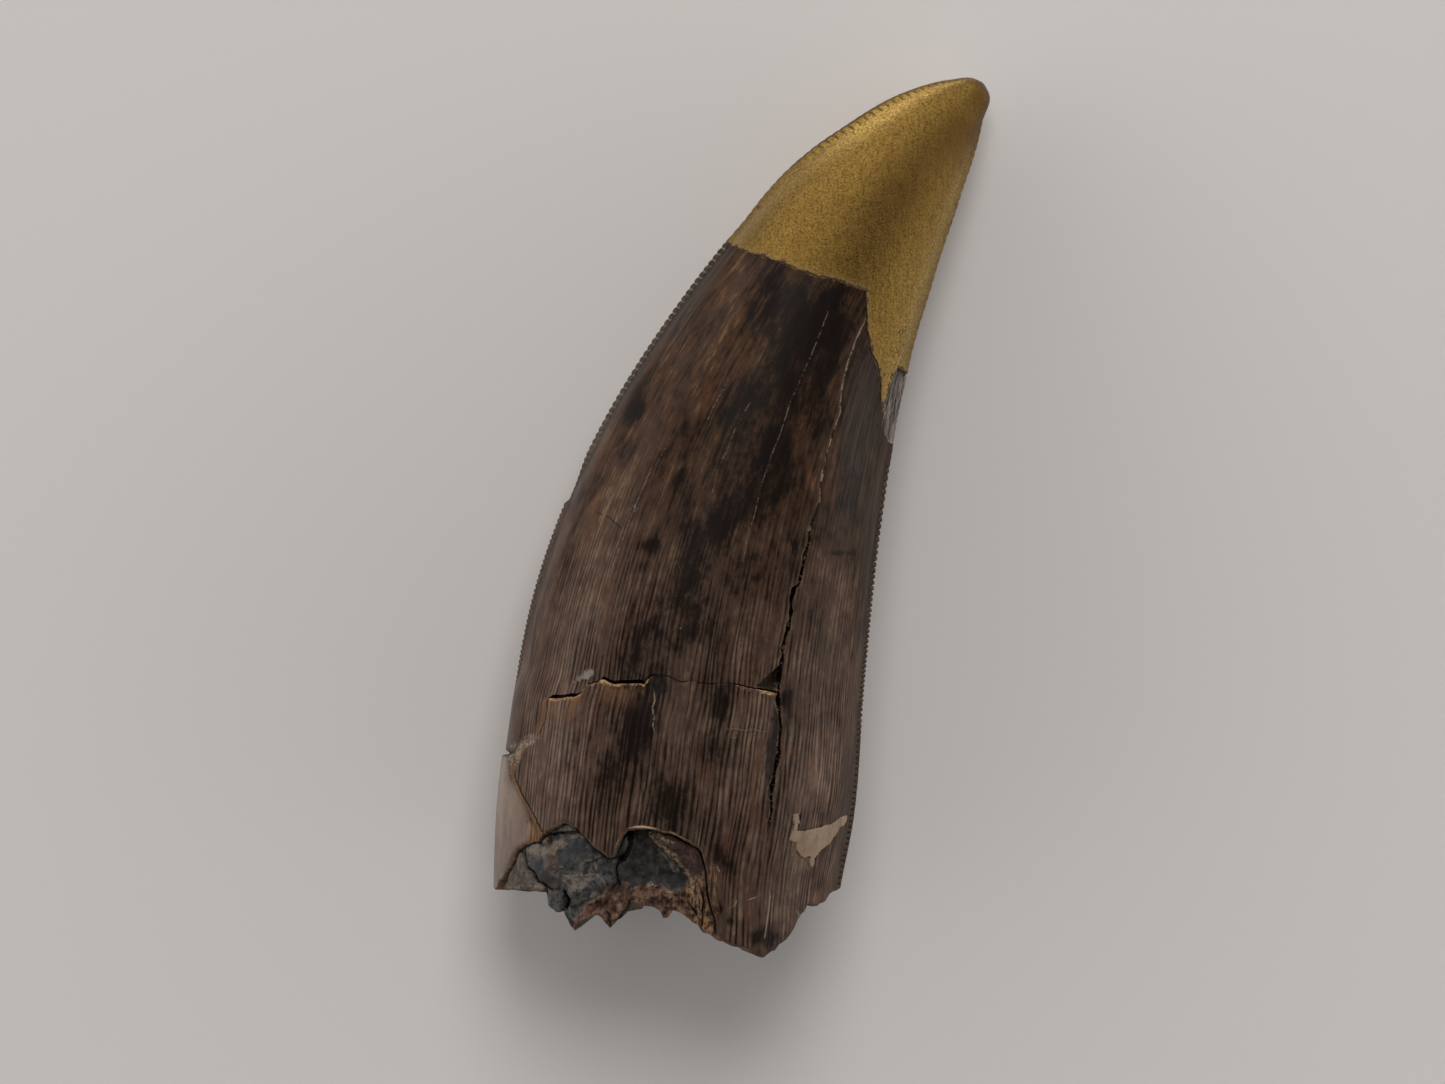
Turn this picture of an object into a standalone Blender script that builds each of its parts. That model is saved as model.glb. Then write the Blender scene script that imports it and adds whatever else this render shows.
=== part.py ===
"""The fossil crown of a tyrannosaur tooth, broken off above the root, with a restored, gilded tip.

The tooth is drawn in its own frame: +Y runs from the broken base to the tip, +X from the front
cutting edge to the rear one, and +Z out of the face that was turned to the lip. It lies on its
other face, so the rest pose tips it by only two or three degrees about that frame.
"""

import math

import bmesh
import bpy
import numpy as np

MM = 0.001

# The two cutting edges as the face shows them, from below the break to the tip, in millimetres
FRONT_EDGE = [
    (-19.7, -34.9), (-19.6, -29.3), (-19.3, -22.6), (-18.6, -16.8), (-16.5, -5.6), (-12.3, 5.2),
    (-5.0, 17.1), (-0.4, 23.0), (3.8, 27.8), (8.4, 31.3), (12.5, 33.6), (16.4, 34.75), (18.4, 34.85),
    (19.2, 34.5),
]
REAR_EDGE = [
    (6.9, -37.3), (7.7, -29.8), (8.7, -24.7), (9.7, -13.1), (11.0, -0.9), (12.9, 10.3),
    (14.8, 17.1), (17.4, 25.2), (19.3, 31.0), (19.8, 33.3), (19.2, 34.5),
]

# Thickness of each face as a share of the half width, at the base and at the tip
FACE_AT_BASE = 0.70
FACE_AT_TIP = 0.88
BACK_AT_BASE = 0.62
BACK_IN_MIDDLE = 0.53
BACK_AT_TIP = 0.80
FACE_SHARPNESS = 1.16  # 1 is an ellipse, more is a lens
BACK_SHARPNESS = 0.92
FULLER_IN_FRONT = 0.09
INWARD_BEND = 5.0
CROWN_LENGTH = 80.0

# The keel of each cutting edge and the small teeth along it
KEEL_HEIGHT = 0.22
KEEL_ANGLE = 0.08
DENTICLE_HEIGHT = 0.20
DENTICLE_PITCH = 0.575
LOW_DENTICLE_PITCH = 0.40
FRONT_KEEL_TURN = 0.50  # radians that the front keel has come round on to the face at the tip
TURNING = (0.70, 0.92)  # where along the crown it comes round
WORN_AWAY = (0.235, 0.275)  # where along the crown it is worn away, going down
WORN_REAR = (4.1, 10.7)  # heights between which the rear edge has lost its denticles

# Lines drawn on the face, each as a list of places in millimetres
BROKEN_RIM = [
    (-19.9, -29.2), (-19.3, -29.4), (-18.1, -27.0), (-16.9, -25.7), (-16.0, -25.9), (-15.5, -25.0),
    (-14.5, -24.4), (-13.3, -24.8), (-11.3, -26.0), (-10.2, -26.8), (-9.4, -25.2), (-8.5, -24.7),
    (-7.0, -24.7), (-4.8, -25.4), (-3.1, -26.6), (-2.9, -28.2), (-2.8, -33.1), (-0.6, -33.8),
    (1.8, -34.8), (3.6, -33.2), (4.8, -30.5), (5.9, -30.9), (7.8, -29.3), (8.1, -27.6),
]
BROKEN_RIM_BEHIND = [
    (-19.9, -29.2), (-17.2, -27.9), (-14.5, -28.6), (-11.3, -27.4), (-8.2, -29.2), (-5.8, -28.7),
    (-3.4, -30.6), (-0.6, -30.0), (2.1, -31.6), (5.3, -29.6), (8.1, -27.6),
]
PLATE_TOP = [
    (-18.6, -14.8), (-15.4, -14.6), (-13.1, -14.4), (-12.4, -13.6), (-11.0, -12.9), (-7.7, -13.3),
    (-7.0, -12.5), (-5.1, -13.1), (0.0, -13.5), (2.5, -14.0), (9.8, -15.1),
]
PLATE_TOP_BEHIND = [(-18.6, -14.8), (9.8, -15.1)]
GILT_BREAK = [
    (-1.5, 21.8), (0.2, 21.0), (2.6, 20.2), (4.5, 19.4), (6.8, 18.8), (8.7, 18.1), (9.8, 17.8),
    (10.2, 14.7), (10.6, 12.1), (11.1, 8.9), (11.5, 9.6), (11.8, 11.0), (13.0, 11.3),
]
GILT_BREAK_BEHIND = [
    (-1.5, 21.8), (1.5, 20.9), (4.0, 19.2), (6.0, 19.6), (8.5, 16.9), (10.5, 15.6), (13.0, 11.3),
]
MAIN_CRACK = [
    (9.6, 15.2), (8.2, 11.8), (7.7, 9.1), (6.0, 1.1), (4.6, -4.4), (3.8, -6.9), (2.9, -12.5),
    (3.0, -17.0), (2.5, -19.8), (2.1, -22.0), (1.8, -27.4), (1.3, -34.5),
]
PLATE_FRONT = [(-15.4, -14.7), (-16.4, -17.6), (-18.1, -20.5), (-17.1, -22.7), (-15.9, -25.0)]
CHIP = [(2.9, -11.7), (1.1, -13.6), (2.9, -13.6)]

PLATE_PROUD = 0.35
PLATE_STEP_ANGLE = 0.05  # radians from the column in front of the plate to its edge
PLATE_DRIFT = 0.1  # radians that the plate's column drifts back above the plate
PLATE_GAP = 0.12
GAP_DEPTH = 0.40
SHUT_GAP = (-7.5, -6.5, 0.7)  # between these places the gap closes to the rear by this share
CRACK_DEPTH = 0.35
CRACK_HALF_ANGLE = 0.022
OPEN_CRACK = (-28.0, -24.0, 11.0, 16.0)  # the crack opens between the first two, shuts by the last
CHIP_DEPTH = 0.45
SHARD_TOP = -19.1  # below this height a shard of the front edge stands out, with a notch above it
SHARD_PROUD = 0.22
SHARD_STEP = 0.3
SHARD_FLANK = (0.25, 0.45)  # radians from the front edge over which the shard's surface drops
NOTCH = (-18.9, -17.9)
NOTCH_DEPTH = 0.45
NOTCH_ANGLE = 0.2

# The hollow of the broken base, and the stone in it
WALL = 2.1
THIN_WALL = 1.15
THIN_WALL_REGION = (0.25, 0.50, 1.75, 2.00)  # angles between which the wall thins and thickens again
MOUTH_HEIGHT = 0.12  # share of the crown's length at which the wall is measured
MOUTH_LIFT = 0.4  # the hollow's mouth is this far above the broken rim
HOLLOW_TOP = 0.245  # share of the crown's length
HOLLOW_SHARES = (0.0, 0.35, 0.65, 0.88)  # rings from the mouth to near the top
FIT_GAP = 0.3
STONE_FOOT = [
    (-19.8, -29.3), (-15.9, -29.7), (-15.6, -30.7), (-14.7, -31.3), (-13.5, -32.6), (-12.8, -31.9),
    (-11.6, -31.5), (-10.6, -32.5), (-9.5, -31.5), (-8.8, -30.5), (-6.8, -30.9), (-6.2, -31.6),
    (-5.4, -31.1), (-4.0, -32.0), (-2.9, -32.4), (0.0, -32.0), (8.1, -26.5),
]
STONE_FOOT_BEHIND = [(-19.8, -28.6), (-12.0, -26.9), (-4.0, -28.6), (2.1, -30.2), (8.1, -26.5)]
STONE_DEPTH = 1.2  # how far the stone lies under the crown's surface where it shows
STONE_SHOULDER = 0.5  # below the rim it comes out to that depth over this length
# Lumps of the stone: x, y, half width, half height, how far each stands out
STONE_LUMPS = [
    (-18.0, -28.7, 1.3, 1.0, 0.9),
    (-16.4, -27.2, 1.2, 1.5, 0.8),
    (-12.9, -27.4, 2.2, 2.3, 0.95),
    (-14.8, -30.6, 0.8, 0.8, 0.5),
    (-9.8, -27.8, 0.5, 1.6, -0.5),
    (-3.6, -27.6, 0.9, 1.6, 0.35),
    (-7.0, -30.2, 2.6, 0.8, 0.55),
    (-3.9, -30.1, 1.0, 0.8, 0.5),
    (-10.6, -31.2, 0.9, 1.0, 0.4),
]

# The putty patch near the rear edge
PATCH = [
    (3.8, -23.5), (4.7, -23.5), (4.7, -24.7), (6.0, -24.6), (7.0, -24.4), (7.8, -23.6), (7.8, -24.7),
    (7.4, -25.6), (6.1, -26.7), (5.5, -27.7), (4.9, -27.1), (4.2, -27.1), (4.1, -25.6), (3.7, -25.6),
]
PATCH_PROUD = 0.03
PATCH_DEPTH = 0.7
PATCH_GAP = 0.2
PATCH_REGION = (0.085, 0.215, 1.75, 3.10)  # lengthwise shares, then angles round the section
PATCH_ROWS = 10
PATCH_COLUMNS = 12
RECESS_HEADROOM = 0.8
CUTTER_HEIGHT = 14.0

# Columns between the named angles round the section, and rows between the named lines
COLUMNS = (1, 3, 1, 21, 1, 1, 6, 1, 1, 14, 1)
ROWS_IN_PLATE = 12
ROWS_TO_BREAK = 22
ROWS_IN_TIP = 13
JOINT_GAP = 0.25
JOINT_REACHES = (0.75, 0.45)
STONE_FACE = (0.08, 2.05, 35)  # first and last angle of the columns that show, and their number
STONE_HIDDEN_COLUMNS = 18
STONE_ROWS = 8
STONE_UNDERSIDE = ((0.72, 0.012), (0.40, 0.004))  # reach of each ring under the foot, and its lift
STONE_UNDERSIDE_MIDDLE = 0.008

# Rest pose: the tooth lies on its belly and tip, with the middle of its box over the origin
PITCH = math.radians(-2.33)
ROLL = math.radians(-3.0)
REST_PLACE = (-0.238, -0.239, 7.993)


def smooth_path(points):
    """A function from 0..1 to places on the smooth curve through the points, by share of its length.

    Each span is a cubic whose end slopes are those of the parabola through the nearest points.
    """
    corners = np.array(points, float)
    knots = np.r_[0.0, np.cumsum(np.linalg.norm(np.diff(corners, axis=0), axis=1))]
    slopes = np.gradient(corners, knots, axis=0)
    steps = np.linspace(0.0, knots[-1], 1500)
    span = np.clip(np.searchsorted(knots, steps, side="right") - 1, 0, len(knots) - 2)
    width = (knots[span + 1] - knots[span])[:, None]
    w = (steps - knots[span])[:, None] / width
    places = (
        (1 + 2 * w) * (1 - w) ** 2 * corners[span]
        + w * (1 - w) ** 2 * width * slopes[span]
        + w**2 * (3 - 2 * w) * corners[span + 1]
        - w**2 * (1 - w) * width * slopes[span + 1]
    )
    length = np.r_[0.0, np.cumsum(np.linalg.norm(np.diff(places, axis=0), axis=1))]

    def at(share):
        return np.stack([np.interp(share * length[-1], length, places[:, i]) for i in (0, 1)], -1)

    return at


front_edge = smooth_path(FRONT_EDGE)
rear_edge = smooth_path(REAR_EDGE)


def ease(value, low, high):
    """0 below low, 1 above high, and a smooth S between."""
    w = np.clip((value - low) / (high - low), 0, 1)
    return w * w * (3 - 2 * w)


def tooth(v, theta, reach=1.0, proud=0.0):
    """Places on and in the crown, in millimetres.

    v is the share of the length from below the break to the tip. theta turns from the front edge
    over the face to the rear edge and back behind. reach is 0 on the axis and 1 on the surface,
    and proud stands out from it along the section's own normal.
    """
    v, theta, reach, proud = np.broadcast_arrays(v, theta, reach, proud)
    front = front_edge(v)
    rear = rear_edge(v)
    across_v = rear - front
    spread = np.maximum(np.linalg.norm(across_v, axis=-1), 1e-6)
    along = across_v / spread[..., None]
    keel = (KEEL_HEIGHT + DENTICLE_HEIGHT) * ease(1 - v, 0, 0.05)
    front_keel = keel * ease(v, *WORN_AWAY) * (1 - 0.9 * ease(v, *TURNING))
    centre = (front + rear) / 2 + along * ((front_keel - keel) / 2)[..., None]
    width = spread / 2 - (front_keel + keel) / 2
    rise = np.sin(theta)
    across = -np.cos(theta) - FULLER_IN_FRONT * rise**2
    face = FACE_AT_BASE + (FACE_AT_TIP - FACE_AT_BASE) * v**3
    back = BACK_IN_MIDDLE + (BACK_AT_BASE - BACK_IN_MIDDLE) * (1 - ease(v, 0.05, 0.5))
    back = back + (BACK_AT_TIP - BACK_IN_MIDDLE) * v**4
    depth = width * np.where(rise > 0, face, back)
    sharpness = np.where(rise > 0, FACE_SHARPNESS, BACK_SHARPNESS)
    lift = np.sign(rise) * np.abs(rise) ** sharpness
    out_across = across / width
    out_up = lift / depth
    out = np.maximum(np.hypot(out_across, out_up), 1e-9)
    sideways = reach * across * width + proud * out_across / out
    upwards = reach * lift * depth + proud * out_up / out - INWARD_BEND * v**2
    return np.concatenate([centre + along * sideways[..., None], upwards[..., None]], -1)


def on_face(points):
    """The v and theta of places given on the face, by the nearest place of a fine net."""
    v, theta = np.meshgrid(np.linspace(0, 1, 500), np.linspace(0, math.pi, 260), indexing="ij")
    net = tooth(v, theta)[..., :2].reshape(-1, 2)
    nearest = [np.argmin(np.sum((net - point) ** 2, axis=1)) for point in np.array(points)]
    return v.ravel()[nearest], theta.ravel()[nearest]


crack_v, crack_theta = on_face(MAIN_CRACK[::-1])
plate_v, plate_theta = on_face(PLATE_FRONT[::-1])


def named_angles(v):
    """The angles round the section that columns keep to, at each v: both keels, plate and crack."""
    keel = FRONT_KEEL_TURN * ease(v, *TURNING)
    plate = np.interp(v, plate_v, plate_theta) + PLATE_DRIFT * ease(v, 0.4, 0.8) + keel / 2
    crack = np.interp(v, crack_v, crack_theta)
    rear = np.full_like(v, math.pi)
    turn = 2 * math.pi
    return np.stack([
        keel, keel + KEEL_ANGLE, plate - PLATE_STEP_ANGLE, plate,
        crack - CRACK_HALF_ANGLE, crack, crack + CRACK_HALF_ANGLE,
        rear - KEEL_ANGLE, rear, rear + KEEL_ANGLE, turn + keel - KEEL_ANGLE, turn + keel,
    ], -1)


# Each column's place among the named angles, and the columns that lie on one of them
ORDER = np.concatenate([i + np.arange(n) / n for i, n in enumerate(COLUMNS)])
FRONT_KEEL, PLATE_COLUMN, CRACK_COLUMN, REAR_KEEL = (
    int(np.flatnonzero(np.isclose(ORDER, i))[0]) for i in (0, 3, 5, 8)
)


def column_angles(v):
    """The angle of every column at each v, evenly spaced between the named angles."""
    angles = named_angles(v)
    low = np.floor(ORDER + 1e-9).astype(int)
    return angles[..., low] + (ORDER - low) * (angles[..., low + 1] - angles[..., low])


def crossing(line, line_behind, angles_at):
    """The v at which each column rises through a line drawn on the face, or behind it."""
    v = np.linspace(0, 0.999, 900)
    theta = angles_at(v)
    places = tooth(v[:, None], theta)
    face_y = np.interp(places[..., 0], *np.array(line).T)
    back_y = np.interp(places[..., 0], *np.array(line_behind).T)
    above = places[..., 1] - np.where(theta % (2 * math.pi) <= math.pi + 1e-6, face_y, back_y)
    above = np.maximum.accumulate(above, axis=0)
    first = np.maximum(np.argmax(above > 0, axis=0), 1)
    column = np.arange(theta.shape[1])
    low = above[first - 1, column]
    high = above[first, column]
    return v[first - 1] + (v[first] - v[first - 1]) * np.clip(-low / (high - low), 0, 1)


def inside(x, y, corners):
    """Whether each place is inside a triangle, by the side of each of its edges that it is on."""
    ends = np.roll(np.array(corners), -1, axis=0)
    sides = np.array([
        (ex - cx) * (y - cy) - (ey - cy) * (x - cx) for (cx, cy), (ex, ey) in zip(corners, ends)
    ])
    return np.all(sides >= 0, axis=0) | np.all(sides <= 0, axis=0)


class Skin:
    """A closed mesh that grows ring by ring. Rings are bridged with quads, and poles with fans."""

    def __init__(self):
        self.bm = bmesh.new()

    def points(self, places):
        return [self.bm.verts.new([c * MM for c in place]) for place in np.reshape(places, (-1, 3))]

    def fan(self, chain, near, far):
        """Triangles between a chain of points and the one edge that faces it."""
        middle = len(chain) // 2
        for i in range(len(chain) - 1):
            self.bm.faces.new((chain[i], chain[i + 1], near if i < middle else far))
        self.bm.faces.new((near, chain[middle], far))

    def bridge(self, lower, upper, chains=None):
        """Joins two rings. chains holds the extra points of a column between them, lowest first."""
        chains = chains or {}
        count = len(lower)
        for k in range(count):
            j = (k + 1) % count
            if k in chains:
                self.fan([lower[k], *chains[k], upper[k]], lower[j], upper[j])
            elif j in chains:
                self.fan([lower[j], *chains[j], upper[j]], lower[k], upper[k])
            else:
                self.bm.faces.new((lower[k], lower[j], upper[j], upper[k]))

    def close(self, ring, pole):
        for k in range(len(ring)):
            self.bm.faces.new((ring[k], ring[(k + 1) % len(ring)], pole))

    def finish(self, name):
        bmesh.ops.triangulate(self.bm, faces=self.bm.faces[:])
        bmesh.ops.recalc_face_normals(self.bm, faces=self.bm.faces[:])
        mesh = bpy.data.meshes.new(name)
        self.bm.to_mesh(mesh)
        self.bm.free()
        obj = bpy.data.objects.new(name, mesh)
        bpy.context.scene.collection.objects.link(obj)
        return obj


def denticles(skin, low_v, high_v, column):
    """The points of a keel between two rows: crest and valley in turn, one crest to a denticle."""
    middle = (low_v + high_v) / 2
    length = (high_v - low_v) * CROWN_LENGTH
    pitch = LOW_DENTICLE_PITCH + (DENTICLE_PITCH - LOW_DENTICLE_PITCH) * ease(middle, 0.35, 0.55)
    count = max(1, round(length / pitch))
    v = np.linspace(low_v, high_v, 2 * count + 1)[1:-1]
    theta = column_angles(v)[:, column]
    crest = np.arange(len(v)) % 2 == 0
    height = KEEL_HEIGHT + DENTICLE_HEIGHT * crest
    if column == FRONT_KEEL:
        height = height * ease(v, *WORN_AWAY)
    else:
        y = tooth(v, theta)[:, 1]
        height = np.where((y > WORN_REAR[0]) & (y < WORN_REAR[1]), KEEL_HEIGHT + DENTICLE_HEIGHT, height)
    return skin.points(tooth(v, theta, proud=height))


def grow_rows(skin, rows, theta, proud):
    """Bridges rows of the outer surface, with denticles on both keels. Gives the end rings back."""
    keel = proud.copy()
    keel[:, FRONT_KEEL] += KEEL_HEIGHT * ease(rows[:, FRONT_KEEL], *WORN_AWAY)
    keel[:, REAR_KEEL] += KEEL_HEIGHT
    rings = [skin.points(places) for places in tooth(rows, theta, proud=keel)]
    for i in range(len(rings) - 1):
        chains = {
            k: denticles(skin, rows[i, k], rows[i + 1, k], k) for k in (FRONT_KEEL, REAR_KEEL)
        }
        skin.bridge(rings[i], rings[i + 1], chains)
    return rings[0], rings[-1]


def row_angles(rows):
    """The angle of each column at that column's own v, row by row."""
    return np.stack([np.diagonal(column_angles(row)) for row in rows])


def joint_face(skin, ring, break_v, shift):
    """Closes a ring along the break with the joint face, which is level at the axis."""
    axis_v = float(np.mean(break_v))
    for reach in JOINT_REACHES:
        v = axis_v + (break_v - axis_v) * reach**2 + shift
        inner = skin.points(tooth(v, row_angles([v])[0], reach=reach))
        skin.bridge(ring, inner)
        ring = inner
    skin.close(ring, skin.points(tooth(axis_v + shift, 0.0, reach=0.0))[0])


def hollow_reach(theta, gap):
    """How far the hollow of the base reaches at its mouth, with a thinner wall under the face."""
    thins, thinnest, thickens, thickest = THIN_WALL_REGION
    thin = ease(theta, thins, thinnest) * (1 - ease(theta, thickens, thickest))
    wall = WALL + (THIN_WALL - WALL) * thin + gap
    mouth = tooth(MOUTH_HEIGHT, theta) - tooth(MOUTH_HEIGHT, 0.0, reach=0.0)
    return 1 - wall / np.linalg.norm(mouth, axis=-1)


def hollow_wall(v, mouth, theta, gap):
    """How far the hollow's wall reaches at v: even below its mouth, rounded off like an egg above."""
    top = HOLLOW_TOP - gap / CROWN_LENGTH
    share = np.clip((v - mouth) / (top - mouth), 0, 1)
    return hollow_reach(theta, gap) * np.sqrt(1 - share**2)


def crown_relief(rows, theta, plate_row):
    """What stands out of the crown's even surface: the plate, its gap, the chip and the main crack."""
    places = tooth(rows, theta)
    x, y = places[..., 0], places[..., 1]
    column = np.arange(rows.shape[1])
    row = np.arange(rows.shape[0])[:, None]
    on_plate = (column >= PLATE_COLUMN) & (column < CRACK_COLUMN)
    proud = np.where((row <= plate_row) & on_plate, PLATE_PROUD, 0.0)
    shut_from, shut_to, shut = SHUT_GAP
    gap_depth = GAP_DEPTH * (1 - shut * ease(x[plate_row + 1], shut_from, shut_to))
    proud[plate_row + 1] -= gap_depth * on_plate
    chipped = inside(x, y, CHIP) & (row > plate_row) & (column < CRACK_COLUMN)
    proud = np.where(chipped, -CHIP_DEPTH, proud)
    front = np.minimum(theta, 2 * math.pi - theta)
    at_front = 1 - ease(front, *SHARD_FLANK)
    proud += SHARD_PROUD * at_front * (1 - ease(y, SHARD_TOP, SHARD_TOP + SHARD_STEP))
    proud -= NOTCH_DEPTH * (front < NOTCH_ANGLE) * (y > NOTCH[0]) * (y < NOTCH[1])
    opens, is_open, shuts, is_shut = OPEN_CRACK
    crack_y = y[:, CRACK_COLUMN]
    proud[:, CRACK_COLUMN] = -CRACK_DEPTH * ease(crack_y, opens, is_open) * (1 - ease(crack_y, shuts, is_shut))
    return proud


def make_crown():
    """The fossil crown: outer surface from rim to break, joint face, broken rim and hollow."""
    skin = Skin()
    rim = crossing(BROKEN_RIM, BROKEN_RIM_BEHIND, column_angles)
    plate_top = crossing(PLATE_TOP, PLATE_TOP_BEHIND, column_angles)
    gilt = crossing(GILT_BREAK, GILT_BREAK_BEHIND, column_angles)
    lower = [rim + (plate_top - rim) * w for w in np.linspace(0, 1, ROWS_IN_PLATE)]
    gap_bottom = plate_top + PLATE_GAP / CROWN_LENGTH
    gap_top = plate_top + 4 * PLATE_GAP / CROWN_LENGTH
    upper = [gap_top + (gilt - gap_top) * w for w in np.linspace(0, 1, ROWS_TO_BREAK)]
    rows = np.array([*lower, gap_bottom, *upper])
    theta = row_angles(rows)
    bottom, top = grow_rows(skin, rows, theta, crown_relief(rows, theta, ROWS_IN_PLATE - 1))
    joint_face(skin, top, gilt, 0.0)
    ring = bottom
    mouth = rim + MOUTH_LIFT / CROWN_LENGTH
    for share in HOLLOW_SHARES:
        v = mouth + (HOLLOW_TOP - mouth) * share
        inner = skin.points(tooth(v, theta[0], reach=hollow_wall(v, mouth, theta[0], 0.0)))
        skin.bridge(ring, inner)
        ring = inner
    skin.close(ring, skin.points(tooth(HOLLOW_TOP, 0.0, reach=0.0))[0])
    return skin.finish("crown")


def make_gilded_tip():
    """The restored tip, from the break to the point, with its tail down the rear edge."""
    skin = Skin()
    gilt = crossing(GILT_BREAK, GILT_BREAK_BEHIND, column_angles) + JOINT_GAP / CROWN_LENGTH
    shares = 1 - (1 - np.linspace(0, 0.93, ROWS_IN_TIP)) ** 1.25
    rows = np.array([gilt + (1 - gilt) * w for w in shares])
    theta = row_angles(rows)
    bottom, top = grow_rows(skin, rows, theta, np.zeros_like(rows))
    joint_face(skin, bottom, gilt - JOINT_GAP / CROWN_LENGTH, JOINT_GAP / CROWN_LENGTH)
    skin.close(top, skin.points(tooth(1.0, 0.0, reach=0.0))[0])
    return skin.finish("gilded_tip")


def make_pulp_matrix():
    """The stone in the hollow: it fills the hollow, shows in the broken openings, ends in spikes."""
    skin = Skin()
    first, last, count = STONE_FACE
    hidden = np.linspace(last, first + 2 * math.pi, STONE_HIDDEN_COLUMNS + 2)[1:-1]
    theta = np.r_[np.linspace(first, last, count), hidden]

    def angles_at(v):
        return np.broadcast_to(theta, (len(v), len(theta)))

    crown_rim = crossing(BROKEN_RIM, BROKEN_RIM_BEHIND, column_angles)
    rim = np.interp(theta, row_angles([crown_rim])[0], crown_rim, period=2 * math.pi)
    rim = np.minimum(rim, np.minimum(np.roll(rim, 1), np.roll(rim, -1)))
    foot = crossing(STONE_FOOT, STONE_FOOT_BEHIND, angles_at)
    mouth = rim + MOUTH_LIFT / CROWN_LENGTH
    start = np.maximum(mouth, foot + MOUTH_LIFT / CROWN_LENGTH)
    top = HOLLOW_TOP - FIT_GAP / CROWN_LENGTH
    rings = []
    for share in reversed(HOLLOW_SHARES):
        v = start + (top - start) * share
        rings.append(skin.points(tooth(v, theta, reach=hollow_wall(v, mouth, theta, FIT_GAP))))
    skin.close(rings[0], skin.points(tooth(top, 0.0, reach=0.0))[0])

    shoulder = STONE_SHOULDER / CROWN_LENGTH
    shows = np.where(np.sin(theta) > 0, ease(rim - foot, shoulder, 2 * shoulder), 0.0)
    below_rim = np.where(shows > 0, rim - FIT_GAP / CROWN_LENGTH, start)
    for share in np.linspace(0, 1, STONE_ROWS):
        v = below_rim + (foot - below_rim) * share
        out = shows * ease(rim - v, 0.0, shoulder)
        x, y, _ = np.moveaxis(tooth(v, theta), -1, 0)
        lumps = sum(h * np.exp(-(((x - cx) / a) ** 2) - ((y - cy) / b) ** 2)
                    for cx, cy, a, b, h in STONE_LUMPS)
        wall = hollow_wall(v, mouth, theta, FIT_GAP)
        reach = wall + (1 - wall) * out
        rings.append(skin.points(tooth(v, theta, reach=reach, proud=(lumps - STONE_DEPTH) * out)))
    for inset, lift in STONE_UNDERSIDE:
        v = foot + (float(np.mean(foot)) - foot) * (1 - inset) + lift
        rings.append(skin.points(tooth(v, theta, reach=hollow_wall(v, mouth, theta, FIT_GAP) * inset)))
    for lower, upper in zip(rings[:-1], rings[1:]):
        skin.bridge(lower, upper)
    middle = float(np.mean(foot)) + STONE_UNDERSIDE_MIDDLE
    skin.close(rings[-1], skin.points(tooth(middle, 0.0, reach=0.0))[0])
    return skin.finish("pulp_matrix")


def plate_of_surface(name, out, depth):
    """A closed curved plate that follows the surface over the patch's region."""
    skin = Skin()
    low_v, high_v, low_theta, high_theta = PATCH_REGION
    v, theta = np.meshgrid(
        np.linspace(low_v, high_v, PATCH_ROWS), np.linspace(low_theta, high_theta, PATCH_COLUMNS),
        indexing="ij",
    )
    outer = [skin.points(row) for row in tooth(v, theta, proud=out)]
    inner = [skin.points(row) for row in tooth(v, theta, proud=-depth)]
    last_row = PATCH_ROWS - 1
    last_column = PATCH_COLUMNS - 1
    for i in range(last_row):
        for k in range(last_column):
            for net in (outer, inner):
                skin.bm.faces.new((net[i][k], net[i][k + 1], net[i + 1][k + 1], net[i + 1][k]))
    border = [(0, k) for k in range(last_column)] + [(i, last_column) for i in range(last_row)]
    border += [(last_row, k) for k in range(last_column, 0, -1)] + [(i, 0) for i in range(last_row, 0, -1)]
    for (i, k), (m, n) in zip(border, border[1:] + border[:1]):
        skin.bm.faces.new((outer[i][k], outer[m][n], inner[m][n], inner[i][k]))
    return skin.finish(name)


def offset_outline(points, distance):
    """The outline moved outwards, each corner along the line that halves its angle."""
    corners = np.array(points)
    before = corners - np.roll(corners, 1, axis=0)
    after = np.roll(corners, -1, axis=0) - corners
    normals = [np.stack([-d[:, 1], d[:, 0]], -1) / np.linalg.norm(d, axis=1)[:, None]
               for d in (before, after)]
    halving = normals[0] + normals[1]
    share = 2 / np.maximum(np.sum(halving**2, axis=1), 0.8)
    return corners + distance * halving * share[:, None]


def prism(name, outline):
    """A straight-sided cutter with the given outline, through the face of the tooth."""
    bm = bmesh.new()
    face = bm.faces.new([bm.verts.new((x * MM, y * MM, 0.0)) for x, y in outline])
    solid = bmesh.ops.extrude_face_region(bm, geom=[face])
    raised = [item for item in solid["geom"] if isinstance(item, bmesh.types.BMVert)]
    bmesh.ops.translate(bm, verts=raised, vec=(0, 0, CUTTER_HEIGHT * MM))
    bmesh.ops.recalc_face_normals(bm, faces=bm.faces[:])
    mesh = bpy.data.meshes.new(name)
    bm.to_mesh(mesh)
    bm.free()
    obj = bpy.data.objects.new(name, mesh)
    bpy.context.scene.collection.objects.link(obj)
    return obj


def cut(target, tool, operation):
    modifier = target.modifiers.new(tool.name, "BOOLEAN")
    modifier.operation = operation
    modifier.object = tool


def hide(tool):
    tool.hide_render = True
    tool.display_type = "WIRE"


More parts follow.
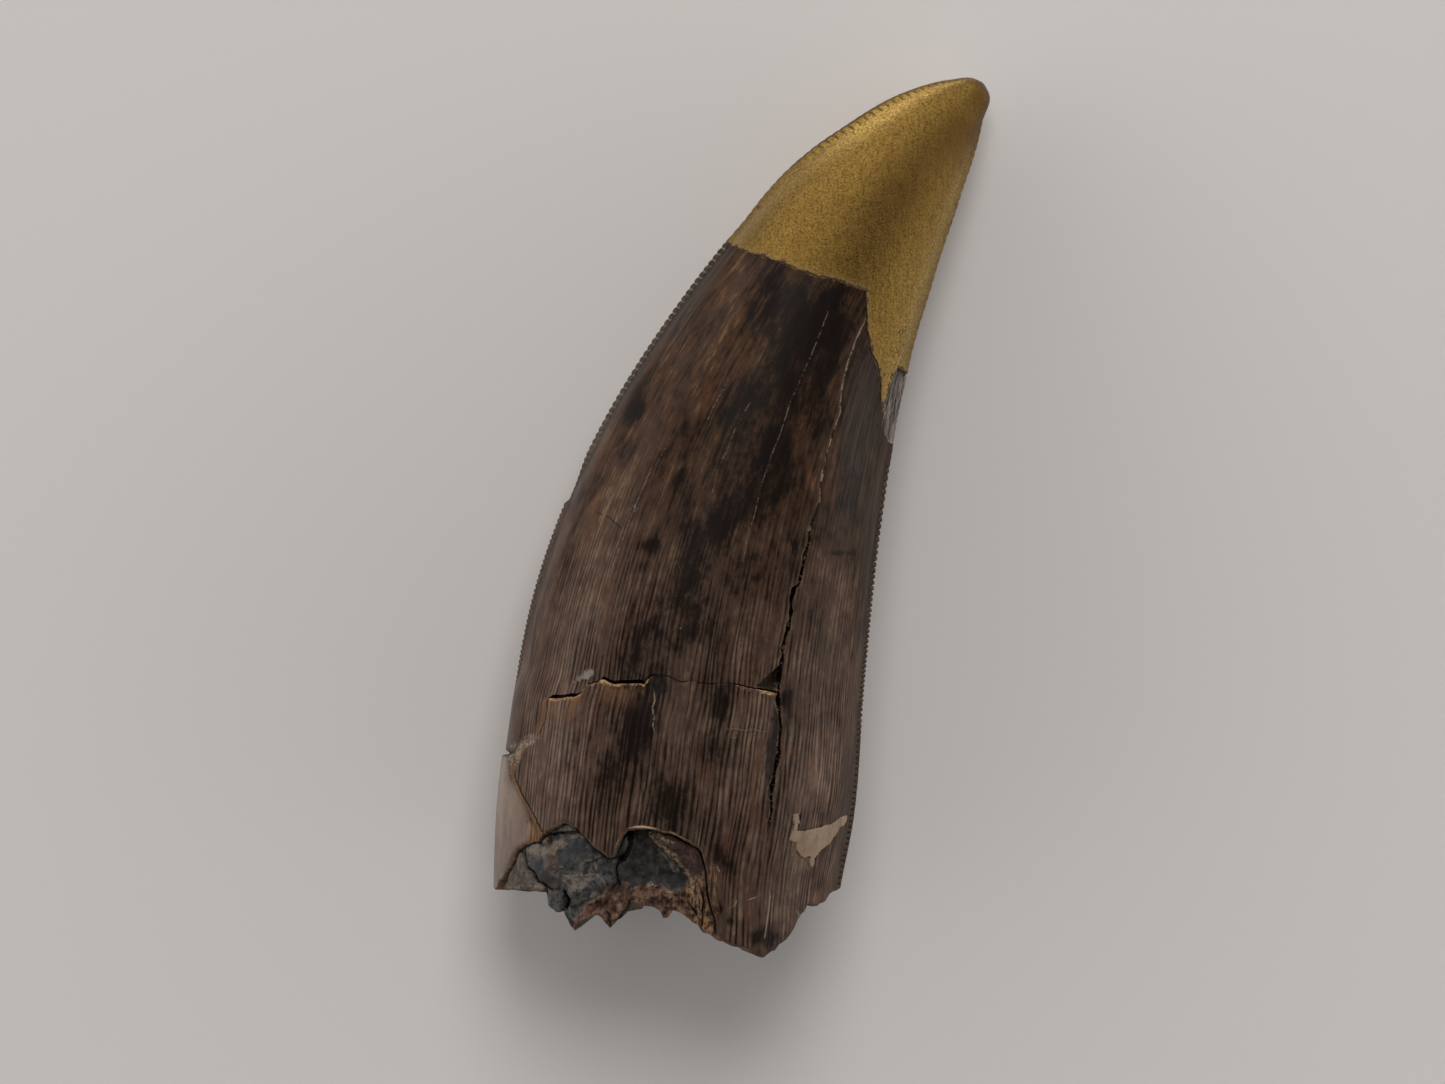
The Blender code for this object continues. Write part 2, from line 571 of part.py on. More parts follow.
def make_filler_patch(crown):
    """The putty patch, and the recess for it in the crown."""
    patch = plate_of_surface("filler_patch", PATCH_PROUD, PATCH_DEPTH)
    patch_shape = prism("patch_outline", PATCH)
    cut(patch, patch_shape, "INTERSECT")
    recess = plate_of_surface("patch_recess", RECESS_HEADROOM, PATCH_DEPTH + PATCH_GAP)
    recess_shape = prism("recess_outline", offset_outline(PATCH, PATCH_GAP))
    cut(recess, recess_shape, "INTERSECT")
    cut(crown, recess, "DIFFERENCE")
    for tool in (patch_shape, recess, recess_shape):
        hide(tool)
    return patch, (patch_shape, recess, recess_shape)


def finish_with(obj, colour, roughness, metallic):
    """Gives an object its own plain finish."""
    material = bpy.data.materials.new(obj.name)
    material.use_nodes = True
    shader = material.node_tree.nodes["Principled BSDF"]
    shader.inputs["Base Color"].default_value = (*colour, 1.0)
    shader.inputs["Roughness"].default_value = roughness
    shader.inputs["Metallic"].default_value = metallic
    obj.data.materials.append(material)


for leftover in list(bpy.data.objects):
    bpy.data.objects.remove(leftover, do_unlink=True)

crown = make_crown()
gilded_tip = make_gilded_tip()
pulp_matrix = make_pulp_matrix()
filler_patch, tools = make_filler_patch(crown)

finish_with(crown, (0.060, 0.040, 0.028), 0.42, 0.0)
finish_with(gilded_tip, (0.52, 0.34, 0.08), 0.42, 1.0)
finish_with(pulp_matrix, (0.045, 0.047, 0.050), 0.65, 0.0)
finish_with(filler_patch, (0.25, 0.19, 0.125), 0.85, 0.0)

rest_pose = bpy.data.objects.new("rest_pose", None)
bpy.context.scene.collection.objects.link(rest_pose)
rest_pose.location = [c * MM for c in REST_PLACE]
rest_pose.rotation_euler = (PITCH, ROLL, 0.0)
for piece in (crown, gilded_tip, pulp_matrix, filler_patch, *tools):
    piece.parent = rest_pose
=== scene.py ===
import math

import bpy
import numpy as np
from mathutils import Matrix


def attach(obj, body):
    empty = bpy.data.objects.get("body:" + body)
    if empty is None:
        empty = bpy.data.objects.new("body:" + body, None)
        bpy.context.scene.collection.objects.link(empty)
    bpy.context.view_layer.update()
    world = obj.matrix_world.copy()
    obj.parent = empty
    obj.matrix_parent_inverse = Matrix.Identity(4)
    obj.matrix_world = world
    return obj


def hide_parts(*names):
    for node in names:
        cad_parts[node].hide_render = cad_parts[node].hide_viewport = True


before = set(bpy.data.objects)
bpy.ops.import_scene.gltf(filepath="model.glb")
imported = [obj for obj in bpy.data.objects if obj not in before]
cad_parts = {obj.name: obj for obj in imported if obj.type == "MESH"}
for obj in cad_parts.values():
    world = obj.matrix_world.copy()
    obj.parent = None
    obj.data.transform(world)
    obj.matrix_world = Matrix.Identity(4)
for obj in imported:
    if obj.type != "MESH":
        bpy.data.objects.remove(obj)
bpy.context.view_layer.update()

# The crown is fossil enamel over dentine, grown as one piece and broken off above the root.
# One skin runs from the top of its hollow, out over the jagged rim, up both faces with their
# serrated edges, and in over the break that the gilded tip is fixed to. Lengths are in mm.

MM = 0.001
PITCH = math.radians(-2.33)
ROLL = math.radians(-3.0)
REST_PLACE = np.array([-0.238, -0.239, 7.993])

FRONT_EDGE = [
    (-19.7, -34.9), (-19.6, -29.3), (-19.3, -22.6), (-18.6, -16.8), (-16.5, -5.6), (-12.3, 5.2), (-5, 17.1),
    (-0.4, 23), (3.8, 27.8), (8.4, 31.3), (12.5, 33.6), (16.4, 34.75), (18.4, 34.85), (19.2, 34.5),
]
REAR_EDGE = [
    (6.9, -37.3), (7.7, -29.8), (8.7, -24.7), (9.7, -13.1), (11, -0.9), (12.9, 10.3), (14.8, 17.1),
    (17.4, 25.2), (19.3, 31), (19.8, 33.3), (19.2, 34.5),
]
CROWN_LENGTH = 80.0
KEEL_HEIGHT = 0.22
DENTICLE_HEIGHT = 0.20
DENTICLE_PITCH = 0.575
LOW_DENTICLE_PITCH = 0.40
KEEL_TURN = 0.50
TURNING = (0.70, 0.92)
WORN_AWAY = (0.235, 0.275)
BEND = 5.0
FACE_HOLLOW = 0.09
FAR = 9.0


def laid_down(places):
    """From the tooth's own frame in mm to the table's in metres.

    It is turned about X by the pitch, then about Y by the roll, and moved to where it rests.
    """
    about_x = [[1, 0, 0], [0, math.cos(PITCH), -math.sin(PITCH)], [0, math.sin(PITCH), math.cos(PITCH)]]
    about_y = [[math.cos(ROLL), 0, math.sin(ROLL)], [0, 1, 0], [-math.sin(ROLL), 0, math.cos(ROLL)]]
    return (places @ (np.array(about_y) @ np.array(about_x)).T + REST_PLACE) * MM


def ease(value, low, high):
    """0 below low, 1 above high, and a smooth S between."""
    w = np.clip((value - low) / (high - low), 0, 1)
    return w * w * (3 - 2 * w)


def bell(distance, half_width):
    """exp(-r^2), where r is the distance in half widths."""
    return np.exp(-((distance / half_width) ** 2))


def curve_through(points):
    """A function from 0..1 to places on the smooth curve through the points, by share of length.

    Each span is a cubic whose end slopes are those of the parabola through the nearest points.
    """
    corners = np.array(points, float)
    knots = np.r_[0.0, np.cumsum(np.linalg.norm(np.diff(corners, axis=0), axis=1))]
    slopes = np.gradient(corners, knots, axis=0)
    steps = np.linspace(0.0, knots[-1], 1500)
    span = np.clip(np.searchsorted(knots, steps, side="right") - 1, 0, len(knots) - 2)
    width = (knots[span + 1] - knots[span])[:, None]
    w = (steps - knots[span])[:, None] / width
    places = (
        (1 + 2 * w) * (1 - w) ** 2 * corners[span]
        + w * (1 - w) ** 2 * width * slopes[span]
        + w**2 * (3 - 2 * w) * corners[span + 1]
        - w**2 * (1 - w) * width * slopes[span + 1]
    )
    length = np.r_[0.0, np.cumsum(np.linalg.norm(np.diff(places, axis=0), axis=1))]
    return lambda share: np.stack(
        [np.interp(share * length[-1], length, places[:, i]) for i in (0, 1)], -1
    )


front_edge = curve_through(FRONT_EDGE)
rear_edge = curve_through(REAR_EDGE)


def tooth(v, theta, reach=1.0, proud=0.0):
    """Places on and in the crown, in mm.

    The section between the two edges is a lens, 0.70 to 0.88 of its half width deep on the face
    and 0.62, 0.53 and 0.80 on the back, hollowed in front by 0.09 of the half width and bent
    inwards by 5 mm at the tip. v is the share of the length from below the break to the tip, and
    theta turns from the front edge over the face to the rear edge and back behind. reach is 0 on
    the axis and 1 on the surface, and proud stands out from it along the section's own normal.
    """
    v, theta, reach, proud = np.broadcast_arrays(v, theta, reach, proud)
    front = front_edge(v)
    rear = rear_edge(v)
    spread = np.maximum(np.linalg.norm(rear - front, axis=-1), 1e-6)
    along = (rear - front) / spread[..., None]
    keel = (KEEL_HEIGHT + DENTICLE_HEIGHT) * ease(1 - v, 0, 0.05)
    front_keel = keel * ease(v, *WORN_AWAY) * (1 - 0.9 * ease(v, *TURNING))
    centre = (front + rear) / 2 + along * ((front_keel - keel) / 2)[..., None]
    width = spread / 2 - (front_keel + keel) / 2
    rise = np.sin(theta)
    across = -np.cos(theta) - FACE_HOLLOW * rise**2
    face = 0.70 + 0.18 * v**3
    back = 0.62 - 0.09 * ease(v, 0.05, 0.5) + 0.27 * v**4
    depth = width * np.where(rise > 0, face, back)
    lift = np.sign(rise) * np.abs(rise) ** np.where(rise > 0, 1.16, 0.92)
    out = np.stack([across / width, lift / depth])
    out = out / np.maximum(np.linalg.norm(out, axis=0), 1e-9)
    sideways = reach * across * width + proud * out[0]
    upwards = reach * lift * depth + proud * out[1] - BEND * v**2
    return np.concatenate([centre + along * sideways[..., None], upwards[..., None]], -1)


def rough(places, size, seed):
    """A smooth random height from -1 to 1 over places, with hills about size across.

    Random values on a cube lattice, blended between its corners with an S in each direction.
    """
    table = np.random.default_rng(seed).uniform(-1, 1, (32, 32, 32))
    scaled = np.asarray(places, float) / size
    low = np.floor(scaled).astype(int)
    part = scaled - low
    part = part * part * (3 - 2 * part)
    height = 0.0
    for corner in np.ndindex(2, 2, 2):
        x, y, z = np.moveaxis((low + corner) % 32, -1, 0)
        height = height + np.prod(np.where(corner, part, 1 - part), axis=-1) * table[x, y, z]
    return height


def on_face(points):
    """The v and theta of places given on the face: the nearest of a net, then of a finer one."""
    points = np.array(points, float)
    steps_up, steps_round = 399, 199
    v, theta = np.meshgrid(
        np.linspace(0, 1, steps_up + 1), np.linspace(0, math.pi, steps_round + 1), indexing="ij"
    )
    net = tooth(v, theta)[..., :2].reshape(-1, 2)
    nearest = [np.argmin(np.sum((net - point) ** 2, axis=1)) for point in points]
    fine = np.linspace(-1, 1, 41)
    v = v.ravel()[nearest][:, None, None] + fine[:, None] / steps_up
    theta = theta.ravel()[nearest][:, None, None] + fine * math.pi / steps_round
    v, theta = (a.reshape(len(points), -1) for a in np.broadcast_arrays(np.clip(v, 0, 1), theta))
    gap = np.sum((tooth(v, theta)[..., :2] - points[:, None]) ** 2, axis=-1)
    best = np.argmin(gap, axis=1)[:, None]
    return np.take_along_axis(v, best, 1)[:, 0], np.take_along_axis(theta, best, 1)[:, 0]


def beside(x, y, line):
    """How far places lie to the right of a drawn line, how far along it, and how far past its ends.

    For each span the foot of the perpendicular is kept within the span, and the nearest span
    counts. Past an end is the length by which the foot would overshoot it.
    """
    start = np.array(line, float)[:-1]
    step = np.diff(np.array(line, float), axis=0)
    length = np.hypot(step[:, 0], step[:, 1])
    px = x[..., None] - start[:, 0]
    py = y[..., None] - start[:, 1]
    share = (px * step[:, 0] + py * step[:, 1]) / length**2
    held = np.clip(share, 0, 1)
    gap = np.hypot(px - held * step[:, 0], py - held * step[:, 1])
    side = np.where(px * step[:, 1] - py * step[:, 0] < 0, -1.0, 1.0)
    nearest = np.argmin(gap, axis=-1)[..., None]
    along = np.cumsum(length) - length + held * length
    past = np.maximum(-share[..., 0] * length[0], (share[..., -1] - 1) * length[-1])
    return (
        np.take_along_axis(gap * side, nearest, -1)[..., 0],
        np.take_along_axis(along, nearest, -1)[..., 0],
        past,
    )


def within(x, y, outline):
    """How deep places lie inside a closed outline, in mm, and negative outside it.

    A place is inside when a line from it to the right crosses the outline an odd number of times.
    """
    corners = np.array(outline + outline[:1], float)
    gap = np.abs(beside(x, y, corners)[0])
    inside = np.zeros(np.shape(x), bool)
    for (ax, ay), (bx, by) in zip(corners[:-1], corners[1:]):
        if ay != by:
            crosses = (ay > y) != (by > y)
            inside ^= crosses & (x < ax + (y - ay) * (bx - ax) / (by - ay))
    return np.where(inside, gap, -gap)


def drawn(x, y, shown, lines):
    """The field of a group of lines: across the nearest, along it, and how much of it shows.

    It stops showing at the line's ends, and where the line is too far away to matter.
    """
    field = np.zeros((*np.shape(x), 3))
    field[..., 0] = FAR
    for line in lines:
        across, along, past = beside(x, y, line)
        show = shown * (1 - ease(np.abs(across), 0.35, 0.55)) * (1 - ease(past, 0.0, 0.25))
        nearer = np.abs(across) < np.abs(field[..., 0])
        field[nearer] = np.stack([across, along, show], -1)[nearer]
    return field


def spots(x, y, ovals):
    """Soft oval spots: each is exp(-r^2), r in its own half width and half length.

    An oval is its middle, half width, half length, how far it leans to the right for each mm up,
    and its strength.
    """
    total = 0.0
    for cx, cy, half_width, half_length, lean, strength in ovals:
        r2 = ((x - cx - lean * (y - cy)) / half_width) ** 2 + ((y - cy) / half_length) ** 2
        total = total + strength * np.exp(-r2)
    return total


def by_ring(*values):
    """One value for each ring, the same all round it."""
    return np.array(values)[:, None]


def triple(*values):
    """Three values for every place as one field. A single number is the same at all places."""
    return np.stack(np.broadcast_arrays(*values), -1)


def skin(name, places, fields, finishes, finish_of_ring=None):
    """A closed skin over rings of places, with a pole at each end in the middle of its ring.

    places is rings by columns by 3, and each field has a value or three for every place.
    """
    rings, columns = places.shape[:2]
    points = laid_down(places.reshape(-1, 3))
    poles = points.reshape(rings, columns, 3)[[0, -1]].mean(axis=1)
    ring = np.arange(rings * columns).reshape(rings, columns)
    turned = np.roll(ring, -1, axis=1)
    quads = np.stack([ring[:-1], turned[:-1], turned[1:], ring[1:]], -1).reshape(-1, 4)
    first, last = rings * columns, rings * columns + 1
    fans = [(int(b), int(a), first) for a, b in zip(ring[0], turned[0])]
    fans += [(int(a), int(b), last) for a, b in zip(ring[-1], turned[-1])]
    mesh = bpy.data.meshes.new(name)
    mesh.from_pydata(np.concatenate([points, poles]).tolist(), [], quads.tolist() + fans)
    for field, values in fields.items():
        values = np.asarray(values, float).reshape(rings, columns, 3)
        ends = values[[0, -1]].mean(axis=1)
        flat = np.concatenate([values.reshape(-1, 3), ends]).astype(np.float32)
        mesh.attributes.new(field, "FLOAT_VECTOR", "POINT").data.foreach_set("vector", flat.ravel())
    for finish in finishes:
        mesh.materials.append(finish)
    if finish_of_ring is not None:
        index = np.repeat(finish_of_ring[:-1], columns)
        ends = np.repeat([finish_of_ring[0], finish_of_ring[-2]], columns)
        mesh.polygons.foreach_set("material_index", np.concatenate([index, ends]).astype(np.int32))
    mesh.shade_smooth()
    mesh.set_sharp_from_angle(angle=math.radians(60))
    piece = bpy.data.objects.new(name, mesh)
    bpy.context.scene.collection.objects.link(piece)
    return piece


class Signal:
    """One output of a node in a finish. Sums on signals add Math nodes."""

    def __init__(self, finish, socket):
        self.finish = finish
        self.socket = socket

    def math(self, operation, *values):
        return self.finish.node("Math", {"operation": operation}, dict(enumerate(values)))

    def __add__(self, other):
        return self.math("ADD", self, other)

    def __sub__(self, other):
        return self.math("SUBTRACT", self, other)

    def __rsub__(self, other):
        return self.math("SUBTRACT", other, self)

    def __mul__(self, other):
        return self.math("MULTIPLY", self, other)

    def __abs__(self):
        return self.math("ABSOLUTE", self)

    __radd__ = __add__
    __rmul__ = __mul__

    def or_more(self, other):
        return self.math("MAXIMUM", self, other)

    def sine(self):
        return self.math("SINE", self)

    def rise(self, low, high):
        """0 at low, 1 at high and a smooth S between, falling where high is the lower."""
        settings = {"interpolation_type": "SMOOTHSTEP"}
        return self.finish.node("MapRange", settings, {"Value": self, "From Min": low, "From Max": high})

    def between(self, start, full, fall, end):
        """1 from full to fall, easing to 0 at start and at end."""
        return self.rise(start, full) * self.rise(end, fall)

    def parts(self):
        return [self.finish.node("SeparateXYZ", {}, {0: self}, axis) for axis in "XYZ"]


class Finish:
    """The nodes of a material or of the room, with one method that adds any node."""

    def __init__(self, owner):
        owner.use_nodes = True
        self.owner = owner
        self.nodes = owner.node_tree.nodes
        self.links = owner.node_tree.links
        self.colour = None

    def fill(self, node, inputs):
        for name, value in inputs.items():
            if isinstance(value, Signal):
                self.links.new(value.socket, node.inputs[name])
            else:
                node.inputs[name].default_value = value

    def node(self, kind, settings, inputs, output=0):
        """Adds a node: its settings first, then a value or a link for each socket named."""
        node = self.nodes.new("ShaderNode" + kind)
        for name, value in settings.items():
            setattr(node, name, value)
        self.fill(node, inputs)
        return Signal(self, node.outputs[output])

    def field(self, name):
        return self.node("Attribute", {"attribute_name": name}, {}, "Vector")

    def noise(self, vector, scale, detail=3.0, roughness=0.55, stretch=None):
        """Noise about 0.5 on a vector, which may be stretched in its three directions first."""
        if stretch:
            vector = self.node("VectorMath", {"operation": "MULTIPLY"}, {0: vector, 1: stretch})
        inputs = {"Vector": vector, "Scale": scale, "Detail": detail, "Roughness": roughness}
        return self.node("TexNoise", {"noise_dimensions": "3D"}, inputs)

    def line(self, name, sway, outer, inner):
        """The share of a drawn line: from 0 at its outer half width to 1 at its inner one."""
        across, _, show = self.field(name).parts()
        return abs(across + sway).rise(outer, inner) * show

    def mix(self, share, first, second):
        """A colour between two by share. Each is a signal, or a tone of three levels."""
        pair = [shade(*tone) if isinstance(tone, tuple) else tone for tone in (first, second)]
        return self.node("Mix", {"data_type": "RGBA"}, {0: share, 6: pair[0], 7: pair[1]}, 2)

    def paint(self, share, first, second=None, by=None):
        """Lays a colour over the one so far by share: the first, or one between both colours."""
        over = first if by is None else self.mix(by, first, second)
        self.colour = self.mix(share, self.colour, over)

    def surface(self, height, depth, **inputs):
        """Fills the shader's sockets, with a bump of the given height and depth in mm."""
        bump = self.node("Bump", {}, {"Height": height, "Distance": depth * MM}, "Normal")
        inputs = {name.replace("_", " "): value for name, value in inputs.items()}
        inputs.update({"Base Color": self.colour, "Normal": bump})
        self.fill(self.nodes["Principled BSDF"], inputs)


def shade(red, green, blue):
    """A colour given as it shows on a screen, 0 to 255, as the linear colour of the shader."""
    levels = np.array([red, green, blue]) / 255
    linear = np.where(levels <= 0.04045, levels / 12.92, ((levels + 0.055) / 1.055) ** 2.4)
    return (*linear.tolist(), 1.0)


# Lines of the crown, from the front or from the top, as places on the face in mm
BROKEN_RIM = [
    (-19.9, -29.2), (-19.3, -29.6), (-18.6, -28), (-17.9, -26.5), (-17.1, -25.8), (-16, -25.6),
    (-15.4, -25.2), (-15, -24.65), (-14.6, -24.2), (-13.9, -24.2), (-13.1, -24.6), (-12.4, -25.3),
    (-11.7, -25.9), (-11.1, -26.5), (-10.5, -26.9), (-10.1, -26.8), (-9.8, -26.1), (-9.5, -25.3),
    (-9, -24.8), (-8.6, -24.6), (-7.8, -24.6), (-6.8, -24.75), (-5.5, -25.1), (-4.8, -25.4), (-4, -25.8),
    (-3.5, -26.2), (-3.25, -26.6), (-3.15, -27.5), (-2.85, -28), (-2.75, -29.3), (-2.5, -29.9),
    (-2.4, -31.2), (-2.15, -31.8), (-2.05, -33), (-1.5, -33.5), (-0.6, -33.8), (0.6, -34.4), (1.8, -34.8),
    (2.6, -34.2), (3.6, -33.2), (4.8, -31.2), (4.9, -30.6), (5.5, -30.7), (5.9, -30.9), (6.6, -30.2),
    (7.8, -29.3), (8.1, -27.6),
]
BROKEN_RIM_BEHIND = [
    (-19.9, -29.2), (-17.2, -27.9), (-14.5, -28.6), (-11.3, -27.4), (-8.2, -29.2), (-5.8, -28.7),
    (-3.4, -30.6), (-0.6, -30), (2.1, -31.6), (5.3, -29.6), (8.1, -27.6),
]
PLATE_TOP = [
    (-18.6, -14.8), (-15.4, -14.6), (-15, -14.45), (-14, -14.5), (-13.1, -14.4), (-12.5, -14),
    (-12.3, -13.5), (-11.4, -13.2), (-11, -12.9), (-10.3, -13.2), (-9.2, -13.2), (-7.7, -13.3),
    (-7.5, -12.9), (-7, -12.5), (-5.9, -12.7), (-5.1, -13.1), (-3.3, -13.2), (-0.8, -13.4), (1.1, -13.7),
    (2.5, -14), (9.8, -15.1),
]
PLATE_TOP_BEHIND = [(-18.6, -14.8), (9.8, -15.1)]
GILT_BREAK = [
    (-1.5, 21.8), (0.2, 21), (2.6, 20.2), (4.5, 19.4), (5.8, 18.9), (6.8, 18.8), (7.9, 18.5), (8.7, 18.1),
    (9.75, 17.8), (9.8, 16.7), (9.85, 15), (10.1, 13.3), (10.3, 12.5), (10.7, 11.9), (10.8, 11),
    (10.9, 10.4), (10.8, 9.3), (11.1, 8.9), (11.5, 9.6), (11.8, 11), (12.2, 11.8), (13, 11.3),
]
GILT_BREAK_BEHIND = [(-1.5, 21.8), (1.5, 20.9), (4, 19.2), (6, 19.6), (8.5, 16.9), (10.5, 15.6), (13, 11.3)]
MAIN_CRACK = [
    (10, 17), (9.6, 15.2), (8.8, 13.5), (8.2, 11.8), (7.9, 10.4), (7.7, 8.3), (7.3, 7.1), (6.6, 4.8),
    (6.2, 2.7), (6, 1.1), (5.4, -0.7), (5.2, -1.9), (4.6, -4.4), (4.4, -5.5), (4, -5.8), (3.8, -6.9),
    (3.7, -8.3), (3.3, -9.5), (3.1, -10.6), (3.1, -11.5), (2.9, -12.5), (2.75, -13.5), (2.7, -14.7),
    (2.9, -15.9), (3, -17), (2.8, -18.7), (2.5, -19.8), (2.2, -21.6), (2.1, -23.6), (1.3, -34.5),
]
PLATE_FRONT = [
    (-15.4, -14.6), (-15.6, -16.2), (-16.1, -17.3), (-16.5, -17.7), (-17.5, -18.2), (-18.1, -19.8),
    (-18.2, -20.4), (-18, -20.9), (-17.5, -22.1), (-17.1, -22.7), (-16.1, -24.5), (-15.9, -25),
]
CHIP = [(2.9, -11.8), (1.7, -12.9), (1, -13.5), (1.5, -13.7), (2.4, -13.9), (2.95, -13.2)]
PALE_LINES = [
    [(6.7, 16), (5.5, 12.9), (4.8, 11.3), (3.7, 8.8), (2.9, 6.3), (2.3, 4.9), (1.3, 2), (1, 0.4),
     (0.3, -2), (0, -3.6)],
    [(0.5, 8.8), (-0.6, 6.9), (-1.2, 5.2), (-2, 3.7), (-2.4, 1.8)],
    [(-1.2, 10.6), (-2.3, 8.6), (-2.8, 7.5)], [(-10, 5.4), (-10.7, 4.1), (-11.3, 2.8)],
    [(-7.2, 3.7), (-8, 1.9), (-8.7, 0.3), (-9, -0.6), (-10.1, -3.5), (-10.6, -5)],
    [(-7.1, -16.1), (-7, -17.1), (-7.2, -18.3)], [(-7.7, -20.8), (-7.8, -21.5)],
    [(-1.5, -16.9), (-0.6, -16.8), (0.1, -17), (0.7, -16.8), (1.5, -17.1), (1.9, -17)],
    [(-0.9, -17.5), (0.2, -17.6), (1.4, -17.5)], [(-5.8, 6), (-6.9, 3.8)],
]
CHALKY_LINES = [
    [(-7, -13.9), (-6.95, -14.6), (-7.15, -15.1), (-7, -15.9), (-7.1, -16.6)],
    [(2.15, -29.9), (2, -31.3), (1.7, -33.3)], [(-0.95, -30.85), (-0.65, -30.75), (-0.55, -30.45)],
    [(0.5, -30.3), (1, -30.1)], [(-2.05, -27.7), (-1.95, -28), (-1.8, -28.3)],
    [(4.35, -31.3), (4.4, -31.7)],
]
DARK_LINES = [
    [(-5, 15.1), (-6, 13.5), (-7, 11.5), (-7.8, 9.5)], [(-4.4, 14.2), (-5.3, 12.5), (-6.3, 10.7)],
    [(-14.8, -3.9), (-16.3, -7.9), (-16.8, -11.4), (-17.1, -12.1), (-17.6, -14.4)],
    [(-11.6, 0.2), (-10.6, -0.2), (-9.7, -1)], [(-7.5, -19.8), (-7.7, -20.8), (-7.9, -22.2), (-8.1, -23.6)],
]
# Outlines on the face: dark, torn, sunken, bare and broken places of the enamel
DARK_CORNER = [(-7.1, -12.7), (-6.4, -12.65), (-5.9, -12.8), (-5.85, -13.9), (-6.3, -14.15), (-7.05, -14)]
TORN_PLACE = [
    (-3.2, -27.9), (-2.2, -27.5), (-1.85, -28.6), (-1.9, -30), (-1.8, -31.6), (-2, -32.6), (-2, -33.9),
    (-4.5, -33.9), (-4.5, -29),
]
DARK_STRIP = [
    (2.6, -14), (2.35, -15), (2.1, -16.3), (1.95, -17.4), (1.7, -18.6), (1.75, -20.5), (1.9, -22.3),
    (2.2, -22.3), (2.5, -19.8), (2.9, -18), (3, -16.5), (2.8, -14),
]
SHARD = [
    (-20.3, -18.9), (-18.6, -19), (-18.35, -20.6), (-17.3, -22.6), (-16.3, -25), (-17.1, -25.9),
    (-18, -26.5), (-19.3, -29.9), (-20.3, -29.9),
]
RED_FACET = [(5.15, -31.1), (5.75, -29.3), (6.1, -30.2), (5.9, -31.1)]
BARE_PLACE = [
    (-17.1, -23.9), (-16.7, -23.9), (-16.1, -24.8), (-16, -25.5), (-16.3, -25.9), (-17.2, -25.9),
    (-17.15, -24.8),
]
CHIPPED_EDGE = [
    (12.1, 12.4), (11.9, 11.2), (11.3, 10.2), (10.8, 9.3), (11.1, 8.7), (11.2, 8.4), (11.3, 7.5),
    (11.2, 6.5), (11.4, 6.2), (11.7, 5.4), (12, 4.2),
]

# Columns of the skin between its named angles, and rows between its named lines
COLUMNS = (2, 3, 14, 1, 90, 1, 1, 1, 1, 28, 3, 2, 2, 3, 44, 3, 2)
ORDER = np.concatenate([i + np.arange(n) / n for i, n in enumerate(COLUMNS)])
PLATE_COLUMN, CRACK_COLUMN = (int(np.flatnonzero(np.isclose(ORDER, i))[0]) for i in (4, 7))
ROWS_IN_PLATE = 128
ROWS_TO_BREAK = 328
ROWS_A_DENTICLE = 4
ROWS_A_REAR_DENTICLE = 6
CRACK_HALF_ANGLE = 0.014
KEEL_SIDES = (0.03, 0.09)

crack_v, crack_theta = on_face(MAIN_CRACK[::-1])
plate_v, plate_theta = on_face(PLATE_FRONT[::-1])


def crack_course(v):
    """The main crack's angle at each v, a little ragged, and half the angle that it takes up."""
    steps = np.stack([v * CROWN_LENGTH, np.zeros_like(v), np.zeros_like(v)], -1)
    ragged = 0.004 * rough(steps, 0.9, 14) + 0.003 * rough(steps, 0.35, 15)
    half = CRACK_HALF_ANGLE * (0.85 + 0.4 * rough(steps, 0.6, 16))
    return np.interp(v, crack_v, crack_theta) + ragged, half


def named_angles(v):
    """The angles that columns keep to at each v: keels, the plate's front and the main crack."""
    keel = KEEL_TURN * ease(v, *TURNING)
    plate = np.interp(v, plate_v, plate_theta) + 0.1 * ease(v, 0.4, 0.8) + 0.5 * keel
    crack, half = crack_course(v)
    rear = np.full_like(v, math.pi)
    around = 2 * math.pi + keel
    near, far = KEEL_SIDES
    return np.stack([
        keel, keel + near, keel + far, plate - 0.02, plate,
        crack - half, crack - 0.5 * half, crack, crack + 0.5 * half, crack + half,
        rear - far, rear - near, rear, rear + near, rear + far,
        around - far, around - near, around,
    ], -1)


def column_angles(v):
    """The angle of every column at each v, evenly spaced between the named angles."""
    angles = named_angles(v)
    low = np.floor(ORDER + 1e-9).astype(int)
    return angles[..., low] + (ORDER - low) * (angles[..., low + 1] - angles[..., low])


def row_angles(rows):
    """The angle of each column at that column's own v, row by row."""
    return np.stack([np.diagonal(column_angles(row)) for row in rows])


def crossing(line, line_behind, angles_at, sway=0.0):
    """The v at which each column rises through a line drawn on the face, or behind it.

    The line on the face sways from side to side by up to the given length in mm.
    """
    v = np.linspace(0, 0.999, 900)
    theta = angles_at(v)
    places = tooth(v[:, None], theta)
    swayed = places[..., 0] + sway * (rough(places, 1.1, 17) + 0.5 * rough(places, 0.45, 18))
    face_y = np.interp(swayed, *np.array(line).T)
    back_y = np.interp(places[..., 0], *np.array(line_behind).T)
    above = places[..., 1] - np.where(theta % (2 * math.pi) <= math.pi + 1e-6, face_y, back_y)
    above = np.maximum.accumulate(above, axis=0)
    first = np.maximum(np.argmax(above > 0, axis=0), 1)
    column = np.arange(theta.shape[1])
    low = above[first - 1, column]
    high = above[first, column]
    return v[first - 1] + (v[first] - v[first - 1]) * np.clip(-low / (high - low), 0, 1)


